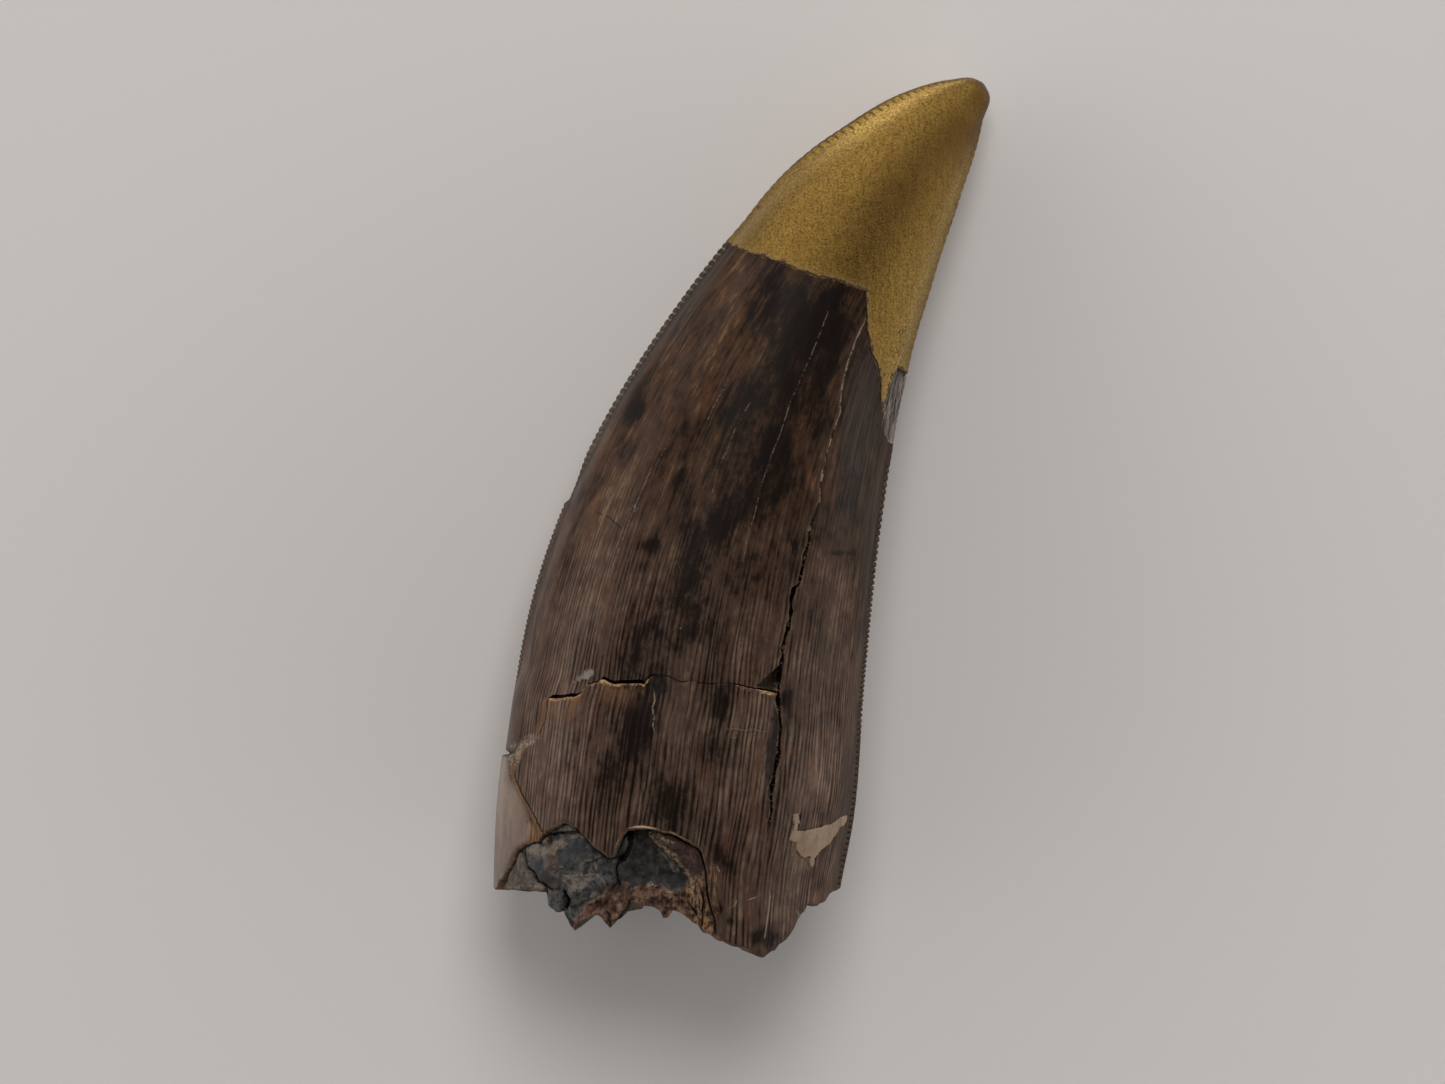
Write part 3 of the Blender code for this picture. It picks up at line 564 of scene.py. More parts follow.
def spaced_as_denticles(low, high, count):
    """Rows from low to high, spaced as the denticles are: closer below mid crown."""
    v = np.linspace(0, 1, 2000)
    pitch = LOW_DENTICLE_PITCH + (DENTICLE_PITCH - LOW_DENTICLE_PITCH) * ease(v, 0.35, 0.55)
    passed = np.cumsum(1 / pitch)
    start = np.interp(low, v, passed)
    end = np.interp(high, v, passed)
    return np.interp(start + (end - start) * np.linspace(0, 1, count + 1)[:, None], passed, v)


def bead(count):
    """The height of a row of denticles: the root of a half wave, with a narrow slot between two."""
    return np.sqrt(np.abs(np.sin(np.pi * count)))


def from_keels(v, theta):
    """The angles between places and the front keel, and between them and the rear keel."""
    turn = KEEL_TURN * ease(v, *TURNING)
    front = np.minimum(np.abs(theta - turn), np.abs(theta - 2 * math.pi - turn))
    return front, np.abs(theta - math.pi)


def slow_relief(places):
    """Slow unevenness of the grown surface in mm: broad swells and longer, finer ones."""
    return 0.05 * rough(places, 5.0, 41) + 0.022 * rough(places * [1, 0.25, 1], 1.3, 42)


# The hollow: its top as a share of the length, and its mouth and its wall in mm
HOLLOW_TOP = 0.245
MOUTH_LIFT = 0.4
WALL_THICKNESS = 2.1
WALL_THINNING = 0.95


def hollow_wall(v, mouth, theta, gap=0.0):
    """How far the hollow reaches at v, from the axis towards the surface.

    The wall is 2.1 mm thick and 1.15 mm under the face. Above the mouth the hollow rounds off like
    an egg: its reach falls with the root of 1 - share^2 of the way to its top.
    """
    thin = ease(theta, 0.25, 0.5) * (1 - ease(theta, 1.75, 2.0))
    across = np.linalg.norm(tooth(0.12, theta) - tooth(0.12, 0.0, reach=0.0), axis=-1)
    top = HOLLOW_TOP - gap / CROWN_LENGTH
    share = np.clip((v - mouth) / (top - mouth), 0, 1)
    thickness = WALL_THICKNESS - WALL_THINNING * thin
    return (1 - (thickness + gap) / across) * np.sqrt(1 - share**2)


def uneven(v_line, line_theta, amount, seed):
    """A line's v with a ragged edge of the given amount in mm."""
    places = tooth(v_line, line_theta)
    return v_line + (rough(places, 0.7, seed) + 0.5 * rough(places, 0.35, seed + 1)) * amount / CROWN_LENGTH


def at_rows(v_line):
    """The angle of each column where it meets a line."""
    return row_angles([v_line])[0]


rim = crossing(BROKEN_RIM, BROKEN_RIM_BEHIND, column_angles, 0.22)
rim = uneven(rim, at_rows(rim), 0.09, 11)
plate_top = crossing(PLATE_TOP, PLATE_TOP_BEHIND, column_angles)
plate_top = uneven(plate_top, at_rows(plate_top), 0.12, 13)
gilt = crossing(GILT_BREAK, GILT_BREAK_BEHIND, column_angles)

# The gap above the ledge, in mm where the ledge is shut and where it is open
SHUT_GAP = 0.05
OPEN_GAP = 0.29
ledge_x = tooth(plate_top, at_rows(plate_top))[..., 0]
openness = np.interp(
    ledge_x,
    [-15.4, -15.1, -12.7, -12.4, -11.2, -11.0, -7.9, -7.6, -7.2, -6.9, -1.0, -0.7, 1.0, 1.2, 2.6, 2.8],
    [0.0, 1.0, 1.0, 0.45, 0.4, 0.9, 1.0, 0.6, 0.4, 0.06, 0.06, 0.30, 0.30, 0.55, 0.55, 0.1],
)
gap_width = SHUT_GAP + (OPEN_GAP - SHUT_GAP) * openness
# The ledge's rows, in mm above it: two on the plate's edge, then down in the gap and out again
ledge_offsets = np.stack(np.broadcast_arrays(-0.09, -0.03, 0.02, gap_width * 0.8, gap_width))
lower = spaced_as_denticles(rim, plate_top - 0.18 / CROWN_LENGTH, ROWS_IN_PLATE)
ledge = plate_top + ledge_offsets / CROWN_LENGTH
upper = spaced_as_denticles(plate_top + (gap_width + 0.06) / CROWN_LENGTH, gilt, ROWS_TO_BREAK)
rows = np.concatenate([lower, ledge, upper])
theta = row_angles(rows)
first_upper = len(lower) + len(ledge)
row = np.arange(len(rows))[:, None]
column = np.arange(rows.shape[1])

places = tooth(rows, theta)
x, y = places[..., 0], places[..., 1]
on_face_side = np.sin(theta) > 0
from_front, from_rear = from_keels(rows, theta)
from_ledge = (rows - plate_top) * CROWN_LENGTH
from_break = (gilt - rows) * CROWN_LENGTH
from_rim = (rows - rim) * CROWN_LENGTH

# Denticles: four rows to one in front and six behind above the plate, four behind below it
KEEL_HALF_WIDTH = 0.055
above_plate = row >= first_upper
front_count = np.where(above_plate, (row - first_upper) / ROWS_A_DENTICLE, 0.5)
rear_count = np.where(above_plate, (row - first_upper) / ROWS_A_REAR_DENTICLE, row / ROWS_A_DENTICLE)
front_wear = ease(rows, *WORN_AWAY) * (1 - 0.55 * ease(y, 0.9, 1.2) * (1 - ease(y, 2.0, 5.0)))
rear_wear = 1 - 0.8 * ease(y, 3.7, 4.3) * (1 - ease(y, 10.6, 11.2))
front_ridge = bell(from_front, KEEL_HALF_WIDTH) * front_wear
rear_ridge = bell(from_rear, KEEL_HALF_WIDTH)
front_bead = 0.45 + 0.55 * bead(front_count)
rear_bead = 1 - rear_wear * (1 - bead(rear_count))
proud = KEEL_HEIGHT * (front_ridge + rear_ridge)
proud += DENTICLE_HEIGHT * (front_ridge**1.3 * front_bead + rear_ridge**1.3 * rear_bead)

# The plate of enamel that stands out between the ledge, its own front edge and the main crack
GAP_DEPTH = 0.42
plate_height = np.interp(ledge_x, [-15.5, -12.4, -8.0, -6.0, 2.5], [0.30, 0.35, 0.35, 0.22, 0.20])
on_plate = (column >= PLATE_COLUMN) & (column < CRACK_COLUMN - 1)
below_ledge = (row < len(lower) + 2) & on_plate
in_gap = (row >= len(lower) + 2) & (row < first_upper - 1) & on_plate
proud += plate_height * below_ledge - GAP_DEPTH * openness * in_gap
proud += 0.05 * bell(from_ledge + 0.1, 0.25) * below_ledge * rough(places, 0.5, 21)

# The main crack, open between mid crown and the plate, and the chip beside it
CRACK_DEPTH = 0.45
CHIP_DEPTH = 0.45
crack_open = np.interp(
    y, [-28.0, -24.0, -22.0, -19.5, -18.5, -13.0, -10.7, -9.5, -6.0, -5.6, -2.0, 2.0, 8.0, 14.5, 16.0],
    [0.0, 0.15, 0.55, 0.6, 0.3, 0.3, 0.55, 0.9, 1.0, 0.6, 0.35, 0.15, 0.15, 0.12, 0.0],
)
proud -= CRACK_DEPTH * crack_open * np.interp(np.abs(column - CRACK_COLUMN), [0, 1, 2], [1.0, 0.7, 0.0])
chip = ease(within(x, y, CHIP), 0.0, 0.15) * on_face_side * above_plate
proud -= CHIP_DEPTH * chip

# The shard that stands out below a notch of the front edge, and the chipped rear edge
SHARD_HEIGHT = 0.22
NOTCH_DEPTH = 0.40
at_front = 1 - ease(from_front, 0.25, 0.45)
proud += SHARD_HEIGHT * at_front * (1 - ease(y, -19.1, -18.95))
proud -= NOTCH_DEPTH * at_front * bell(y + 18.85, 0.13)
beyond = beside(x, y, CHIPPED_EDGE)[0]
chipped = ease(-beyond, 0.0, 0.12) * ease(y, 4.6, 5.4) * (y < 12.5) * on_face_side
proud -= chipped * (0.16 - 0.09 * rough(places * [3.0, 0.12, 3.0], 0.5, 31))

# Sunken places: the strip beside the crack, the fluted bare place, and the slope to the rim
strip_depth = within(x, y, DARK_STRIP)
bare_depth = within(x, y, BARE_PLACE)
flutes = 0.18 + 0.05 * rough(places * [2.0, 0.1, 2.0], 0.6, 32)
torn = ease(within(x, y, TORN_PLACE), -0.25, 0.5) * (1 - ease(from_rim, 0.0, 1.0))
sunken = 0.16 * ease(strip_depth, 0.0, 0.08) + flutes * ease(bare_depth, 0.0, 0.12) + 0.22 * torn
proud -= sunken * on_face_side

# The recess for the putty patch
PATCH = [
    (3.9, -23.7), (4.4, -23.6), (4.5, -24.4), (4.4, -24.9), (4.9, -24.95), (6, -24.65), (7.2, -24.4),
    (7.9, -23.9), (8.4, -23.75), (8.3, -24.3), (7.7, -24.8), (7.3, -25.5), (6.8, -26.15), (6.2, -26.4),
    (5.7, -27.2), (5.4, -27.85), (5.15, -27.5), (5.2, -27.1), (4.5, -26.95), (4.2, -26.4), (4.25, -25.9),
    (3.7, -25.65), (3.9, -24.8),
]
RECESS_DEPTH = 0.35
proud -= RECESS_DEPTH * ease(within(x, y, PATCH), 0.05, 0.25) * on_face_side

# Slow unevenness away from the keels, and the edge that dives in under the gilding
from_keel = np.minimum(from_front, from_rear)
proud += slow_relief(places) * (1 - bell(from_keel, 0.12))
tuck_v = gilt + by_ring(0.03, 0.12) / CROWN_LENGTH
tuck_proud = proud[-1] - by_ring(0.04, 0.35)

# Rings from the top of the hollow, down its wall, over the broken rim, up the outside and in
mouth = rim + MOUTH_LIFT / CROWN_LENGTH
wall_shares = by_ring(0.97, 0.88, 0.65, 0.35, 0.0)
wall_v = mouth + (HOLLOW_TOP - mouth) * wall_shares
wall_reach = hollow_wall(wall_v, mouth, theta[0])
hollow = wall_reach[-1]
broken = by_ring(0.75, 0.45, 0.18, 0.05)
broken_v = rim + (MOUTH_LIFT * broken**1.5 - 0.16 * np.sin(np.pi * broken**0.5)) / CROWN_LENGTH
broken_v += rough(tooth(broken_v, theta[0]) + broken[..., None], 0.45, 51) * 0.10 / CROWN_LENGTH
broken_reach = 1 - (1 - hollow) * broken
joint_reach = by_ring(0.8, 0.5, 0.2)
joint_v = np.mean(gilt) + (gilt - np.mean(gilt)) * joint_reach**2

all_v = np.concatenate([wall_v, broken_v, rows, tuck_v, joint_v])
all_theta = row_angles(all_v)
inner_rings = len(wall_v) + len(broken_v)
rings_outside = slice(inner_rings, -len(joint_v))
all_reach = np.ones_like(all_v)
all_reach[:inner_rings] = np.concatenate([wall_reach, broken_reach])
all_reach[-len(joint_v):] = joint_reach
all_proud = np.zeros_like(all_v)
all_proud[len(wall_v):inner_rings] = proud[0] * (1 - broken)
all_proud[rings_outside] = np.concatenate([proud, tuck_proud])
crown_places = tooth(all_v, all_theta, all_reach, all_proud)


def on_all_rings(values, inside=0.0):
    """A value known on the outer rows, held on the tucked edge, and given one value inside."""
    values = np.broadcast_to(values, rows.shape)
    whole = np.full(all_v.shape, inside)
    whole[rings_outside] = np.concatenate([values, values[-1:], values[-1:]])
    return whole


def row_field(*values, inside=(0.0, 0.0, 0.0)):
    """Three values known on the outer rows as one field of all rings."""
    return triple(*map(on_all_rings, values, inside))


# Stains, painted shade and sheen, crumbs and the rim's painted highlight as soft ovals: middle, half width,
# half length, lean, strength
DARK_STAINS_AND_SHADE = [
    (3.6, 15.6, 3.2, 3.6, 0.4, 0.55), (-4.6, -8.7, 2.6, 3.2, 0.2, 0.35), (-1.9, -30.9, 0.35, 0.35, 0, 1.3),
    (2.9, 8, 3.4, 8.5, 0.35, 0.75), (-1.5, -2, 3.2, 6, 0.3, 0.35), (-8.5, 8.3, 0.8, 0.9, 0.4, 1),
    (-4.8, 2.9, 0.8, 1.3, 0.4, 0.8), (-7.4, -2.4, 1.1, 0.5, 0, 0.7), (6.5, 11, 1, 1.3, 0.4, 0.7),
    (7.7, -3, 1.2, 0.22, 0, 0.8), (3.9, -2.3, 0.35, 0.9, -0.5, 0.7), (-8.6, -17, 1.3, 3.2, 0.1, 0.8),
    (-1.8, -14.9, 0.8, 1.4, 0, 0.9), (-2.3, -18.3, 1.1, 2.4, 0.1, 0.5), (-6.4, -22.4, 1.9, 2.3, 0.1, 0.6),
    (-13.3, -17.5, 0.7, 3, 0.15, 0.4), (3.5, -14.7, 0.4, 1.5, 0, 0.9), (-4.3, -3.6, 1.3, 3, 0.3, 0.4),
    (-8.2, -9.9, 1.8, 2.6, 0.25, 0.55), (3, 17.6, 1.3, 1.6, 0.2, 0.4), (6.2, 14, 1.6, 3, 0.3, 0.5),
    (-11, -19, 1.9, 4.6, 0.1, 0.4), (1.8, -33.2, 1.8, 0.8, 0, 0.7), (-1, -32, 0.3, 0.4, 0, 1),
    (5.6, -24, 1.6, 1.5, 0, 0.3), (-2, -26.8, 0.5, 1, 0, 0.8), (-0.5, -6, 1, 0.5, 0.2, 0.4),
    (-1.2, -28, 1, 1.6, 0, 0.5),
]
WARM_SPOTS = [
    (-2, 11.5, 2.3, 5, 0.5, 0.6), (-9.6, 3, 2.1, 5, 0.5, 0.9), (-12.1, -6, 2.2, 6, 0.3, 0.6),
    (4.3, 7.6, 0.5, 1.5, 0.3, 0.5), (-14.4, -19.5, 1.9, 5, 0.1, 1), (8.1, -8.3, 1.8, 6, 0.1, 0.4),
    (6.4, -18.5, 1.8, 5, 0.05, 0.55), (2.1, -29.5, 3, 4, 0.05, 0.45), (-5.2, -16, 1.3, 3, 0.1, 0.35),
    (1, -17, 0.8, 3, 0, 0.35), (-7, 12, 1.3, 3, 0.6, 0.4), (0.5, 4, 0.7, 3, 0.3, 0.3),
    (-4.5, -7, 1, 3, 0.25, 0.35),
]
# Grey spots: grey enamel, and painted sheen inside the front keel and on the shard
GREY_AND_SHEEN_SPOTS = [
    (9, 7.5, 2, 6.5, 0.15, 0.9), (-4.2, 16.5, 1.2, 5, 0.62, 0.9), (10, -8, 1.1, 14, 0.1, 0.8),
    (8.2, -24, 0.9, 5, 0.1, 0.6), (9.8, 1, 1.5, 5, 0.1, 0.5), (-18.2, -25, 1.6, 5, 0, 0.6),
    (-16.5, -13, 1.4, 4, 0.2, 0.35), (-14.1, -24.4, 1, 0.4, 0.1, 1.5),
]
WHITE_CRUMBS = [
    (-12.2, -12.5, 0.5, 0.35, 0.6, 1.3), (-12.9, -12.9, 0.4, 0.3, 0.6, 1.1),
    (-16.8, -17.5, 0.5, 0.3, 0.3, 1.1), (-18.3, -18.9, 0.4, 0.9, 0.2, 0.9),
    (-8.7, 0.3, 0.3, 0.4, 0.4, 0.9), (1, -27, 0.2, 0.3, 0, 0.8), (2.6, -24.9, 0.2, 0.3, 0, 0.6),
    (-0.7, -33, 0.15, 0.15, 0, 0.9), (-5, -9, 0.15, 0.15, 0, 0.9),
]
RIM_HIGHLIGHT_SPOTS = [
    (-7.95, -24.7, 0.9, 0.45, 0, 1.5), (-5.2, -25.2, 2.2, 0.9, -0.3, 0.7),
    (-9.7, -26, 0.45, 0.9, 0.3, 0.8), (-3.2, -27, 0.45, 1.3, 0, 0.6), (-12, -25.8, 1.9, 1, -0.5, 0.45),
    (-18.6, -28, 0.5, 1.6, 0.4, 0.5), (0, -34, 3, 0.6, -0.1, 0.3), (-15.6, -25.4, 0.4, 0.35, 0, 1.2),
    (-2.5, -33, 0.4, 0.5, 0, 1),
]

shown = on_all_rings(on_face_side)
px, py = crown_places[..., 0], crown_places[..., 1]
# The grain runs in a round of its own, of about the crown's half width and half depth
HALF_WIDTH = 12.0
HALF_DEPTH = 8.0
round_front = np.maximum(shown, 1 - ease(2 * math.pi - all_theta, 0.15, 0.6))
strip = np.maximum(ease(strip_depth, -0.04, 0.06), ease(within(x, y, DARK_CORNER), -0.05, 0.08))
bared = np.maximum(ease(bare_depth, -0.05, 0.1), 0.4 * ease(within(x, y, RED_FACET), -0.05, 0.15))
crack_at, crack_half = crack_course(all_v)
crack_shown = shown * (ease(py, -26.0, -23.5) - ease(py, 15.4, 16.2))
crown_fields = {
    "grain": triple(-HALF_WIDTH * np.cos(all_theta), HALF_DEPTH * np.sin(all_theta), CROWN_LENGTH * all_v),
    "main_crack": triple((all_theta - crack_at) / crack_half, py, crack_shown),
    "pale_line": drawn(px, py, shown, PALE_LINES),
    "chalky_line": drawn(px, py, shown, CHALKY_LINES),
    "dark_line": drawn(px, py, shown, DARK_LINES),
    "plate_front": drawn(px, py, shown, [PLATE_FRONT]),
    "ledge": row_field(from_ledge, gap_width, on_plate * (0.15 + 0.85 * openness)),
    "margins": row_field(from_rim, from_break, from_keel * HALF_WIDTH, inside=(0.0, -1.0, 5.0)),
    "denticles": row_field(
        np.where(theta % (2 * math.pi) < 1.6, front_count, rear_count),
        np.where(from_front < from_rear, front_wear, rear_wear), from_front < from_rear,
    ),
    "stains_and_painted_light": triple(*(shown * spots(px, py, s) for s in (DARK_STAINS_AND_SHADE, WARM_SPOTS, GREY_AND_SHEEN_SPOTS))),
    "damage": triple(on_all_rings(chipped), on_all_rings(chip), shown * spots(px, py, WHITE_CRUMBS)),
    "course": triple(
        11.0 * all_theta, round_front * ease(within(px, py, SHARD), -0.05, 0.35),
        shown * ease(within(px, py, TORN_PLACE), -0.25, 0.5),
    ),
    "bared": triple(
        on_all_rings(strip * on_face_side), on_all_rings(bared * on_face_side),
        shown * spots(px, py, RIM_HIGHLIGHT_SPOTS),
    ),
}


def enamel_ground(f, grain):
    """Dark brown enamel before its cracks: fine lengthwise lines under smoky stain, with painted shade down
    the middle and painted sheen on grey places and the shard.
    """
    dark_stain_and_shade, warm_spot, grey_and_sheen_spot = f.field("stains_and_painted_light").parts()
    arc, shard = f.field("course").parts()[:2]
    low = grain.parts()[2].rise(46.0, 20.0)
    drift = f.noise(grain, 0.7, 3.0, stretch=(1, 1, 0.10))
    fade = f.noise(grain, 0.9, 2.0, stretch=(1, 1, 0.25))
    stripe = (arc * 19.0 + drift * 22.0).sine() * fade.rise(0.30, 0.54)
    lines = f.noise(grain, 3.3, 2.0, 0.5, stretch=(1, 1, 0.045)) - 0.5
    fine = f.noise(grain, 3.0, 5.0, 0.65, stretch=(1, 1, 0.14)) - 0.5
    hairs = f.noise(grain, 7.5, 2.0, 0.6, stretch=(1, 1, 0.03)) - 0.5
    streak = f.noise(grain, 1.0, 4.0, 0.6, stretch=(1, 1, 0.22)) - 0.5
    smoke = f.noise(grain, 0.36, 6.0, 0.62, stretch=(1, 1, 0.6)) - 0.5
    flecks = f.noise(grain, 1.7, 6.0, 0.72, stretch=(1, 1, 0.5)) - 0.5
    rust = f.noise(grain, 0.7, 5.0, 0.6, stretch=(1, 1, 0.4))
    # The dark spots are stains, and down the middle of the face they are painted shade
    light = (
        0.30 + stripe * (0.03 + low * 0.19) - stripe.rise(-0.2, -0.9) * low * 0.22
        + lines * (0.8 - low * 0.4) + fine * (1.3 - low * 0.7) + hairs * (0.60 + low * 0.40)
        + streak * (0.4 - low * 0.2) + smoke * (2.4 - low * 1.1) + flecks * (1.5 - low * 0.3)
        + warm_spot * 0.26 - dark_stain_and_shade * 0.42 + low * 0.09
    )
    brown = f.mix(low, (60, 42, 30), (74, 58, 49))
    f.colour = f.mix(light.rise(-0.25, 0.50), (26, 17, 12), brown)
    f.paint(light.rise(0.40, 1.20), (108, 80, 56), (122, 101, 85), low)
    f.paint(rust.rise(0.52, 0.66) * light.rise(0.1, 0.6) * 0.45, (84, 50, 31))
    black = (dark_stain_and_shade * 0.9 - smoke * 1.7 - flecks * 1.3 + 0.06).rise(0.28, 0.72)
    f.paint(black * 0.75, (21, 15, 13))
    # Grey places are grey enamel; on the shard and inside the front keel they are painted sheen
    grey = f.mix((lines * 0.5 + hairs).rise(-0.16, 0.16), (36, 32, 31), (62, 54, 48))
    f.paint((grey_and_sheen_spot + flecks * 0.8).rise(0.1, 1.1) * 0.75, grey)
    # Painted sheen: the shard is painted a light grey-brown, browner towards the plate
    shard_sheen = f.mix((streak * 0.7 + smoke * 1.4).rise(-0.25, 0.25), (98, 84, 75), (134, 119, 108))
    shard_sheen = f.mix(grain.parts()[0].rise(-11.6, -9.6) * 0.7, shard_sheen, (98, 74, 58))
    f.paint(shard * 0.85, shard_sheen)
    relief = stripe * (0.05 + low * 0.15) + lines * (0.5 + low * 0.8) + fine * 0.8 + flecks * 0.6
    return relief, flecks


def finished_enamel():
    """The enamel with its cracks, broken edges and keels drawn over the grain."""
    f = Finish(bpy.data.materials.new("fossil_enamel"))
    grain = f.field("grain")
    relief, mottle = enamel_ground(f, grain)
    from_rim, from_break, from_keel = f.field("margins").parts()
    shard, torn = f.field("course").parts()[1:]
    wobble = (f.noise(grain, 2.3, 4.0, 0.6) - 0.5) * 0.20
    grit = f.noise(grain, 5.5, 3.0, 0.65)
    patchy = f.noise(grain, 1.1, 2.0)
    strands = f.noise(grain, 2.4, 4.0, 0.6, stretch=(3, 3, 0.25))

    # Torn fibres beside the hollow's crumbs, tan with dark gaps
    in_torn = (torn + (patchy - 0.5) * 1.2).rise(0.35, 0.7)
    fibre = f.mix(strands.rise(0.42, 0.6), (46, 33, 26), (122, 96, 71))
    f.paint(in_torn * 0.8, fibre, (60, 40, 30), patchy.rise(0.55, 0.45) * 0.5)

    # Keels: a dark row of denticles, with pale marks in the slots towards the gilding. The slots are
    # painted black as painted shade, and a blue-grey band behind the front keel is painted sheen
    count, wear, in_front = f.field("denticles").parts()
    slot = 1 - f.node("Math", {"operation": "PINGPONG"}, {0: count, 1: 0.5}).rise(0.05, 0.2)
    on_keel = from_keel.rise(0.75, 0.45) * wear
    f.paint(on_keel * 0.8, (34, 25, 20), (84, 65, 49), grit.rise(0.4, 0.6))
    # Painted sheen: a blue-grey band behind the front keel, fading down the crown
    sheen_behind_keel = from_keel.between(0.6, 1.0, 1.6, 3.4) * in_front
    sheen_behind_keel = sheen_behind_keel * from_break.rise(26.0, 12.0)
    f.paint(sheen_behind_keel * 0.9, (25, 24, 25), (56, 52, 50), grit.rise(0.3, 0.7))
    marks = slot * from_keel.between(0.1, 0.3, 0.7, 1.0) * wear * in_front
    marks = marks * from_break.rise(28.0, 12.0) * grit.rise(0.38, 0.48)
    f.paint(marks * 0.6, (122, 113, 102))
    # Painted shade: the slots between denticles are painted near-black
    f.paint(slot * on_keel * 0.8 * (1 - marks), (12, 9, 8))

    # Cracks: pale hairlines, dark lines, and the main crack with its pale stretches, and black ones where
    # it is open: painted shade in the opening
    mottled = patchy * 0.5 + grit * 0.8
    hair = f.line("pale_line", wobble * 0.5, 0.07, 0.015) * mottled.rise(0.58, 0.76)
    score = f.line("dark_line", wobble * 0.5, 0.08, 0.02) * (patchy + grit * 0.3).rise(0.52, 0.72)
    chalk = f.line("chalky_line", wobble * 0.6, 0.08, 0.02) * mottled.rise(0.50, 0.62)
    strip, bare, rim_highlight = f.field("bared").parts()
    f.paint(strip * 0.8, (22, 18, 18), (38, 32, 31), (mottle + 0.5).rise(0.4, 0.6))
    f.paint(bare * 0.9, (74, 50, 33), (126, 94, 64), strands.rise(0.38, 0.62))
    f.paint(score * 0.8, (12, 9, 8))
    f.paint(hair * 0.6, (122, 108, 92))
    f.paint(chalk * 0.65, (142, 130, 114))
    across, along, show = f.field("main_crack").parts()
    reach = abs(across) + wobble * 3.0
    opened = (along + (patchy - 0.5) * 8.0).rise(2.5, -2.5)
    groove = reach.rise(1.15, 0.75) * show * opened
    broken = (patchy * 0.9 + grit * 0.8 + along * 0.008).rise(0.80, 0.98)
    thread = reach.rise(0.80, 0.35) * show * (1 - opened) * broken
    beside_thread = reach.rise(1.3, 0.5) * show * (1 - opened)
    fleck = mottled.rise(0.70, 0.78)
    # Painted shade: where the crack is open its groove is painted near-black, with pale flecks
    f.paint(groove, (6, 5, 5), (110, 94, 78), fleck * 0.8)
    f.paint(beside_thread * 0.7, (14, 10, 9))
    f.paint(thread * 0.8, (138, 124, 106))
    crack_lip = reach.between(1.0, 1.25, 1.4, 2.1) * opened * show
    crack_lip = crack_lip * (grit * 0.6 + patchy * 0.6).rise(0.55, 0.7)
    f.paint(crack_lip * 0.6, (118, 92, 68))

    # The ledge: a tan broken lip below a gap painted black as painted shade, and only a fine dark line
    # where it is shut
    height, gap, open_share = f.field("ledge").parts()
    lip_foot = -0.02 - patchy * 0.40 - (grit - 0.5) * 0.5
    lip = (height + wobble * 1.2 - lip_foot).rise(-0.04, 0.12) * height.rise(0.03, 0.0)
    warm = height.between(-2.4, -0.1, 0.0, 0.03) * open_share.rise(0.6, 0.95)
    f.paint(warm * (strands + patchy - 0.6).rise(0.1, 0.6) * 0.6, (112, 80, 54))
    lip = lip * (open_share + (grit - 0.5) * 0.7).rise(0.35, 0.65)
    in_gap = height.rise(-0.01, 0.03) * (height - gap).rise(0.03, -0.04) * open_share.rise(0.2, 0.4)
    seam = abs(height + wobble * 0.4).rise(0.09, 0.02) * open_share.rise(0.12, 0.2) * patchy.rise(0.40, 0.5)
    f.paint(lip * 0.85, (96, 66, 42), (178, 144, 106), grit.rise(0.35, 0.65))
    # Painted shade: the open gap above the lip is painted near-black
    f.paint(in_gap, (6, 5, 5))
    f.paint(seam * open_share.rise(0.45, 0.3) * 0.8, (14, 10, 9))

    # The plate's front: shut at the top, then a pale crust, then amber beside a dark seam
    across, along, show = f.field("plate_front").parts()
    edge = across + wobble * 1.2
    seam = abs(edge).rise(0.09, 0.03) * show * (patchy + grit * 0.4).rise(0.55, 0.7)
    f.paint(seam * along.rise(3.2, 2.6) * 0.8, (18, 12, 10))
    outer = edge.between(0.0, 0.12, 0.5, 1.6) * show * along.rise(3.6, 2.4)
    f.paint(outer * 0.55, (86, 58, 36), (124, 88, 58), strands.rise(0.4, 0.6))
    crust = edge.between(-0.42, -0.15, 0.12, 0.46) * show * (grit + patchy * 0.4).rise(0.56, 0.74)
    crust = crust * along.between(2.7, 3.4, 6.0, 6.8)
    f.paint(crust * 0.75, (106, 86, 66), (156, 138, 118), strands.rise(0.4, 0.6))
    amber = edge.between(-0.04, 0.02, 0.1, 0.34) * show * along.rise(5.4, 6.2)
    amber = amber * grit.rise(0.35, 0.55)
    f.paint(amber * 0.7, (92, 60, 34), (136, 98, 62), grit.rise(0.4, 0.6))
    line = abs(edge + 0.05).rise(0.10, 0.03) * show * along.rise(6.6, 7.4)
    f.paint(line * 0.9, (14, 10, 8))

    # Damage: the grey chipped rear edge, the chip by the crack, and whitish crumbs
    chipped, chip, crumbs = f.field("damage").parts()
    f.paint(chipped * 0.85, (42, 38, 38), (136, 127, 121), strands.rise(0.40, 0.62))
    rind = chipped.between(0.02, 0.3, 0.5, 0.95) * grit.rise(0.4, 0.5)
    f.paint(rind * 0.7, (150, 140, 128))
    f.paint(chip * 0.85, (12, 9, 8), (38, 27, 21), strands.rise(0.4, 0.6))
    white = (crumbs + (grit - 0.5) * 2.4 + (patchy - 0.5) * 1.6).rise(0.5, 0.75) * crumbs.rise(0.12, 0.3)
    f.paint(white * 0.8, (72, 66, 64), (130, 122, 117), patchy.rise(0.35, 0.65))

